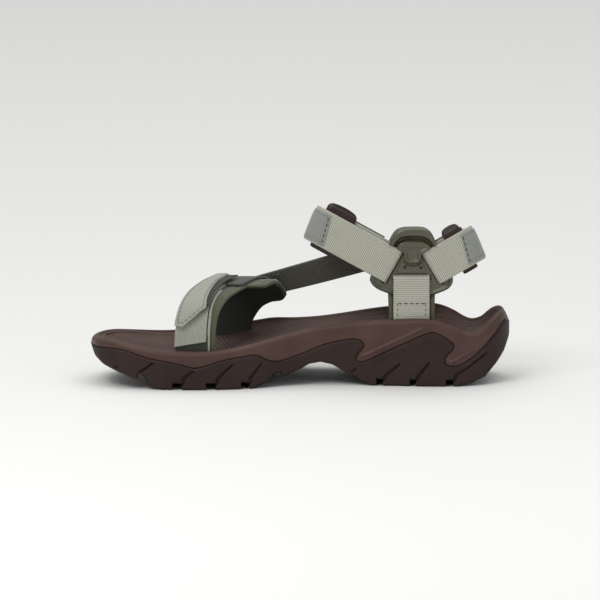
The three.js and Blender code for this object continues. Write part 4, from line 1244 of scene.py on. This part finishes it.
edge_spot = over_arch(np.linspace(FOOT, arch_share(-15, 60), 140), LINER_THICK + 0.5)
edge_line = lean_back(edge_spot, HALF - np.interp(edge_spot[:, 0], *WEB_TAPER) - 0.5)
selvedge = make_object("forefoot_selvedge", *tube(edge_line, 1.0, 10), OVERLAY)
add(selvedge, "shoe", "webbing")


def behind_wing(surface, inset):
    """Keeps a band of the far side in front of the wing's rear edge."""
    def cut(t, w):
        spot = surface(t, w)
        order = np.argsort(back_edge[:, 1])
        limit = np.interp(spot[..., 2], back_edge[order, 1], back_edge[order, 0]) - inset
        first = surface(t, np.zeros_like(w))[..., 0]
        last = np.minimum(surface(t, np.ones_like(w))[..., 0], limit)
        spot[..., 0] = first + (last - first) * w
        return spot
    return cut


back_edge = curve_through([(-37, 0), (-35.5, 20), (-33.6, 32), (-31.6, 36.6), (-26.4, 43.6),
                           (-19.3, 47.3), (-12.2, 48.6), (-9.8, 52.8), (-12.2, 58.5), (-16, 63.5),
                           (-24, 76)], 16)
far_start = web_top
far_length = arch_length(far_start, END, layer(0) + WEB / 2)
far_surface = behind_wing(arch_surface(far_start, END, layer(0) + WEB / 2, -HALF - 3, HALF), 1.5)
# The far side's webbing takes the darker copy, whose tone is partly painted shade.
far_web = sheet("forefoot_far_webbing_strap", far_surface, WEB, (far_length, STRAP + 3), FAR_WEBBING_DARK_AND_PAINTED_SHADE,
                steps=(int(far_length / 0.5), 100), edge=0.5, relief=lengthwise_ribs, out=-1)
add(far_web, "shoe", "dark_webbing", "forefoot_lateral_webbing")
strips = []
for strip_name, rise, finish in (("loop", 0.4, FUZZ), ("hook", 1.5, PILE)):
    strip_surface = tapered_band(arch_surface(strip_low, strip_top, layer(1) + rise, -HALF + 2, HALF - 2))
    strip_length = arch_length(strip_low, strip_top, layer(1) + rise)
    strips.append(sheet(f"forefoot_{strip_name}_pile", strip_surface, PILE_THICK,
                        (strip_length, STRAP - 4), finish, steps=(int(strip_length / 0.5), 34), edge=0.3,
                        out=-1))
loop_strip, hook_strip = strips
add(loop_strip, "shoe", "pile", "forefoot_loop_strip")
add(hook_strip, "forefoot_flap_body", "pile", "forefoot_flap_hook")

# %% [markdown]
# The flap closes the forefoot strap: smooth coated cloth outside, hook pile inside, stitched round its
# edge. Its lower end is cut on a slant, so each line of points along the flap stops at its own height.
# Its upper end is sewn down.

# %% flap
FLAP_CUT = np.array([(-130, 45.4), (-88, 44.6), (-80.5, 43.2), (-65.2, 53.2), (-58, 56.5), (10, 58)],
                    dtype=float)
flap_offset = layer(1) + 2 * PILE_THICK + 0.3 + 0.3 + WEB / 2


def flap_start(band_at):
    """Lowest share of the arch above the slanted cut, for a line at this place across the flap."""
    shares = np.linspace(arch_share(-41.2, 34), flap_top, 500)
    x, _, z = lean_back(over_arch(shares, flap_offset), band_at).T
    return shares[np.argmax(z >= np.interp(x, FLAP_CUT[:, 0], FLAP_CUT[:, 1]))]


flap_bands = np.linspace(-HALF, HALF, 61)
flap_starts = np.array([flap_start(b) for b in flap_bands])
flap_starts = np.convolve(np.pad(flap_starts, 1, mode="edge"), np.ones(3) / 3, mode="valid")
flap_length = arch_length(flap_starts.min(), flap_top, flap_offset)


def flap_layer(offset, tapered, inset=0.0):
    def surface(t, w):
        start = np.interp((w - 0.5) * STRAP, flap_bands, flap_starts)
        s = start + (flap_top - start) * t + inset * (1 - t)
        lift = 0.4 * np.exp(-(t / 0.10) ** 2)
        spot = over_arch(s, flap_offset + offset + lift)
        taper = np.interp(spot[..., 0], *(REAR_TAPER if tapered else WEB_TAPER)) + (0 if tapered else 0.9)
        return lean_back(spot, -HALF + inset * 40 + (STRAP - taper - inset * 40) * w)
    return surface


flap_surface = flap_layer(0.15, True)


def flap_relief(length, width):
    from_edge = np.minimum(HALF - np.abs(width), length * 0.92)
    seam = -0.3 * np.exp(-((from_edge - 2.4) / 0.4) ** 2)
    return seam + 0.22 * smooth(from_edge, 2.4, 5.5) + 0.12 * np.sin(length * 0.22) * np.cos(width * 0.18)


flap = sheet("forefoot_flap_cloth", flap_surface, WEB - 0.5, (flap_length, STRAP), OVERLAY,
             steps=(int(flap_length / 0.4), 60), edge=0.6, relief=flap_relief, out=-1)


def bend_with_flap(piece):
    """Bakes the piece's transform into its mesh."""
    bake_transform(piece)


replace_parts(flap, "forefoot_flap")
bend_with_flap(flap)
under = sheet("forefoot_flap_backing", flap_layer(-0.75, False, 0.012), 0.8, (flap_length, STRAP), PILE,
              steps=(int(flap_length / 0.7), 40), edge=0.3, out=-1)
bend_with_flap(under)
seam_rows = [[(flap_length - 3, -HALF + 2.4), (2.4, -HALF + 2.4), (2.4, HALF - 2.6),
              (flap_length - 3, HALF - 2.6)]]
flap_thread = stitches("forefoot_flap_thread", flap_surface, (flap_length, STRAP), seam_rows, 0.38,
                       DARK_THREAD, out=-1, length=2.2, space=0.8, radius=0.22)
bend_with_flap(flap_thread)
print("flap", round(flap_length, 1), "mm long")

# %% [markdown]
# On the outer side of the foot the liner spreads into a wing that carries the strap back. It is cut to an
# outline, so the arch band is made wide and its points beyond the outline are drawn back to it. A cord of
# piping closes its rear edge, which is where the padding would otherwise show its cut side.

# %% lateral liner wing
wing_low, wing_high = -HALF - 2, HALF + 12


def wing_surface(t, w):
    spot = over_arch(lateral_start + (END - lateral_start) * t, LINER_THICK / 2)
    order = np.argsort(back_edge[:, 1])
    limit = np.interp(spot[..., 1], back_edge[order, 1], back_edge[order, 0])
    front = ARCH_CENTRE + wing_low + ARCH_LEAN * spot[..., 0] - 16 * smooth(spot[..., 0], 30, 42)
    rear = np.minimum(ARCH_CENTRE + wing_high + ARCH_LEAN * spot[..., 0], limit)
    return np.stack([front + (rear - front) * w, spot[..., 0], spot[..., 1]], axis=-1)


lateral_start = arch_share(1, 62.3)
wing_length = arch_length(lateral_start, END, LINER_THICK / 2)
wing_width = wing_high - wing_low
# The wing's inner face, seen through the opening, takes the darker liner copy as painted shade.
wing = sheet("forefoot_wing_cloth", wing_surface, LINER_THICK - 0.2, (wing_length, wing_width), LINER,
             steps=(int(wing_length / 0.6), 70), edge=1.5, relief=liner_relief(wing_width / 2), out=-1,
             under_face_painted_shade=LINER_INSIDE_PAINTED_SHADE)
add(wing, "shoe", "liner_fabric", "forefoot_lateral_liner")

rear_edge = wing_surface(np.linspace(0.02, 0.98, 120), np.ones(120)) - [1.2, 0.6, 0]
rear_edge = rear_edge[rear_edge[:, 2] > 52]
shape = tube(rear_edge, 1.5, 10)
piping = make_object("forefoot_wing_piping", *shape, LINER)
add(piping, "shoe", "liner_fabric")
print("wing", round(wing_length, 1), "mm along the arch")

# %% [markdown]
# The setting is a plain pale floor with soft light from large panels: one wide panel overhead, a key from
# the front and a weak fill. A long lens from a little above the ground keeps the side view nearly free of
# perspective.

# %% floor, light and camera
def area_light(name, place, target, size, power):
    data = bpy.data.lights.new(name, "AREA")
    data.shape = "RECTANGLE"
    data.size, data.size_y = size
    data.energy = power
    lamp = bpy.data.objects.new(name, data)
    lamp.location = place
    lamp.rotation_euler = (Vector(target) - Vector(place)).to_track_quat("-Z", "Y").to_euler()
    bpy.context.scene.collection.objects.link(lamp)


floor_material, _, floor_shader = new_material("floor")
floor_shader.inputs["Base Color"].default_value = (0.8, 0.8, 0.79, 1)
floor_shader.inputs["Roughness"].default_value = 0.6
floor = make_object("floor", [(-4000, -3000, 0), (4000, -3000, 0), (4000, 5000, 0), (-4000, 5000, 0)],
                    [(0, 1, 2, 3)], floor_material)

area_light("key", (-0.6, -0.9, 1.1), (0, 0, 0.05), (0.8, 0.6), 8)
area_light("fill", (0.9, -0.9, 0.4), (0, 0, 0.05), (0.8, 0.8), 1.6)
area_light("top", (0, 0.6, 3.0), (0, 0.6, 0), (4, 4), 62)
world = bpy.data.worlds.new("room")
world.use_nodes = True
world.node_tree.nodes["Background"].inputs["Color"].default_value = (1, 1, 1, 1)
world.node_tree.nodes["Background"].inputs["Strength"].default_value = 0.5
bpy.context.scene.view_settings.view_transform = "Standard"
bpy.context.scene.world = world

ELEVATION = math.radians(9)
DISTANCE = 6.0
SENSOR = 36
VIEW_WIDTH = 0.4152
NEAR_SIDE = 0.035
aim = Vector((-0.0002, 0, 0.0548))
lens = bpy.data.cameras.new("camera")
lens.sensor_width = SENSOR
lens.lens = SENSOR * (DISTANCE - NEAR_SIDE) / VIEW_WIDTH
camera = bpy.data.objects.new("camera", lens)
camera.location = aim + DISTANCE * Vector((0, -math.cos(ELEVATION), math.sin(ELEVATION)))
camera.rotation_euler = (aim - camera.location).to_track_quat("-Z", "Y").to_euler()
bpy.context.scene.collection.objects.link(camera)
bpy.context.scene.camera = camera
print("camera", [round(c, 3) for c in camera.location], "lens", round(lens.lens, 1))
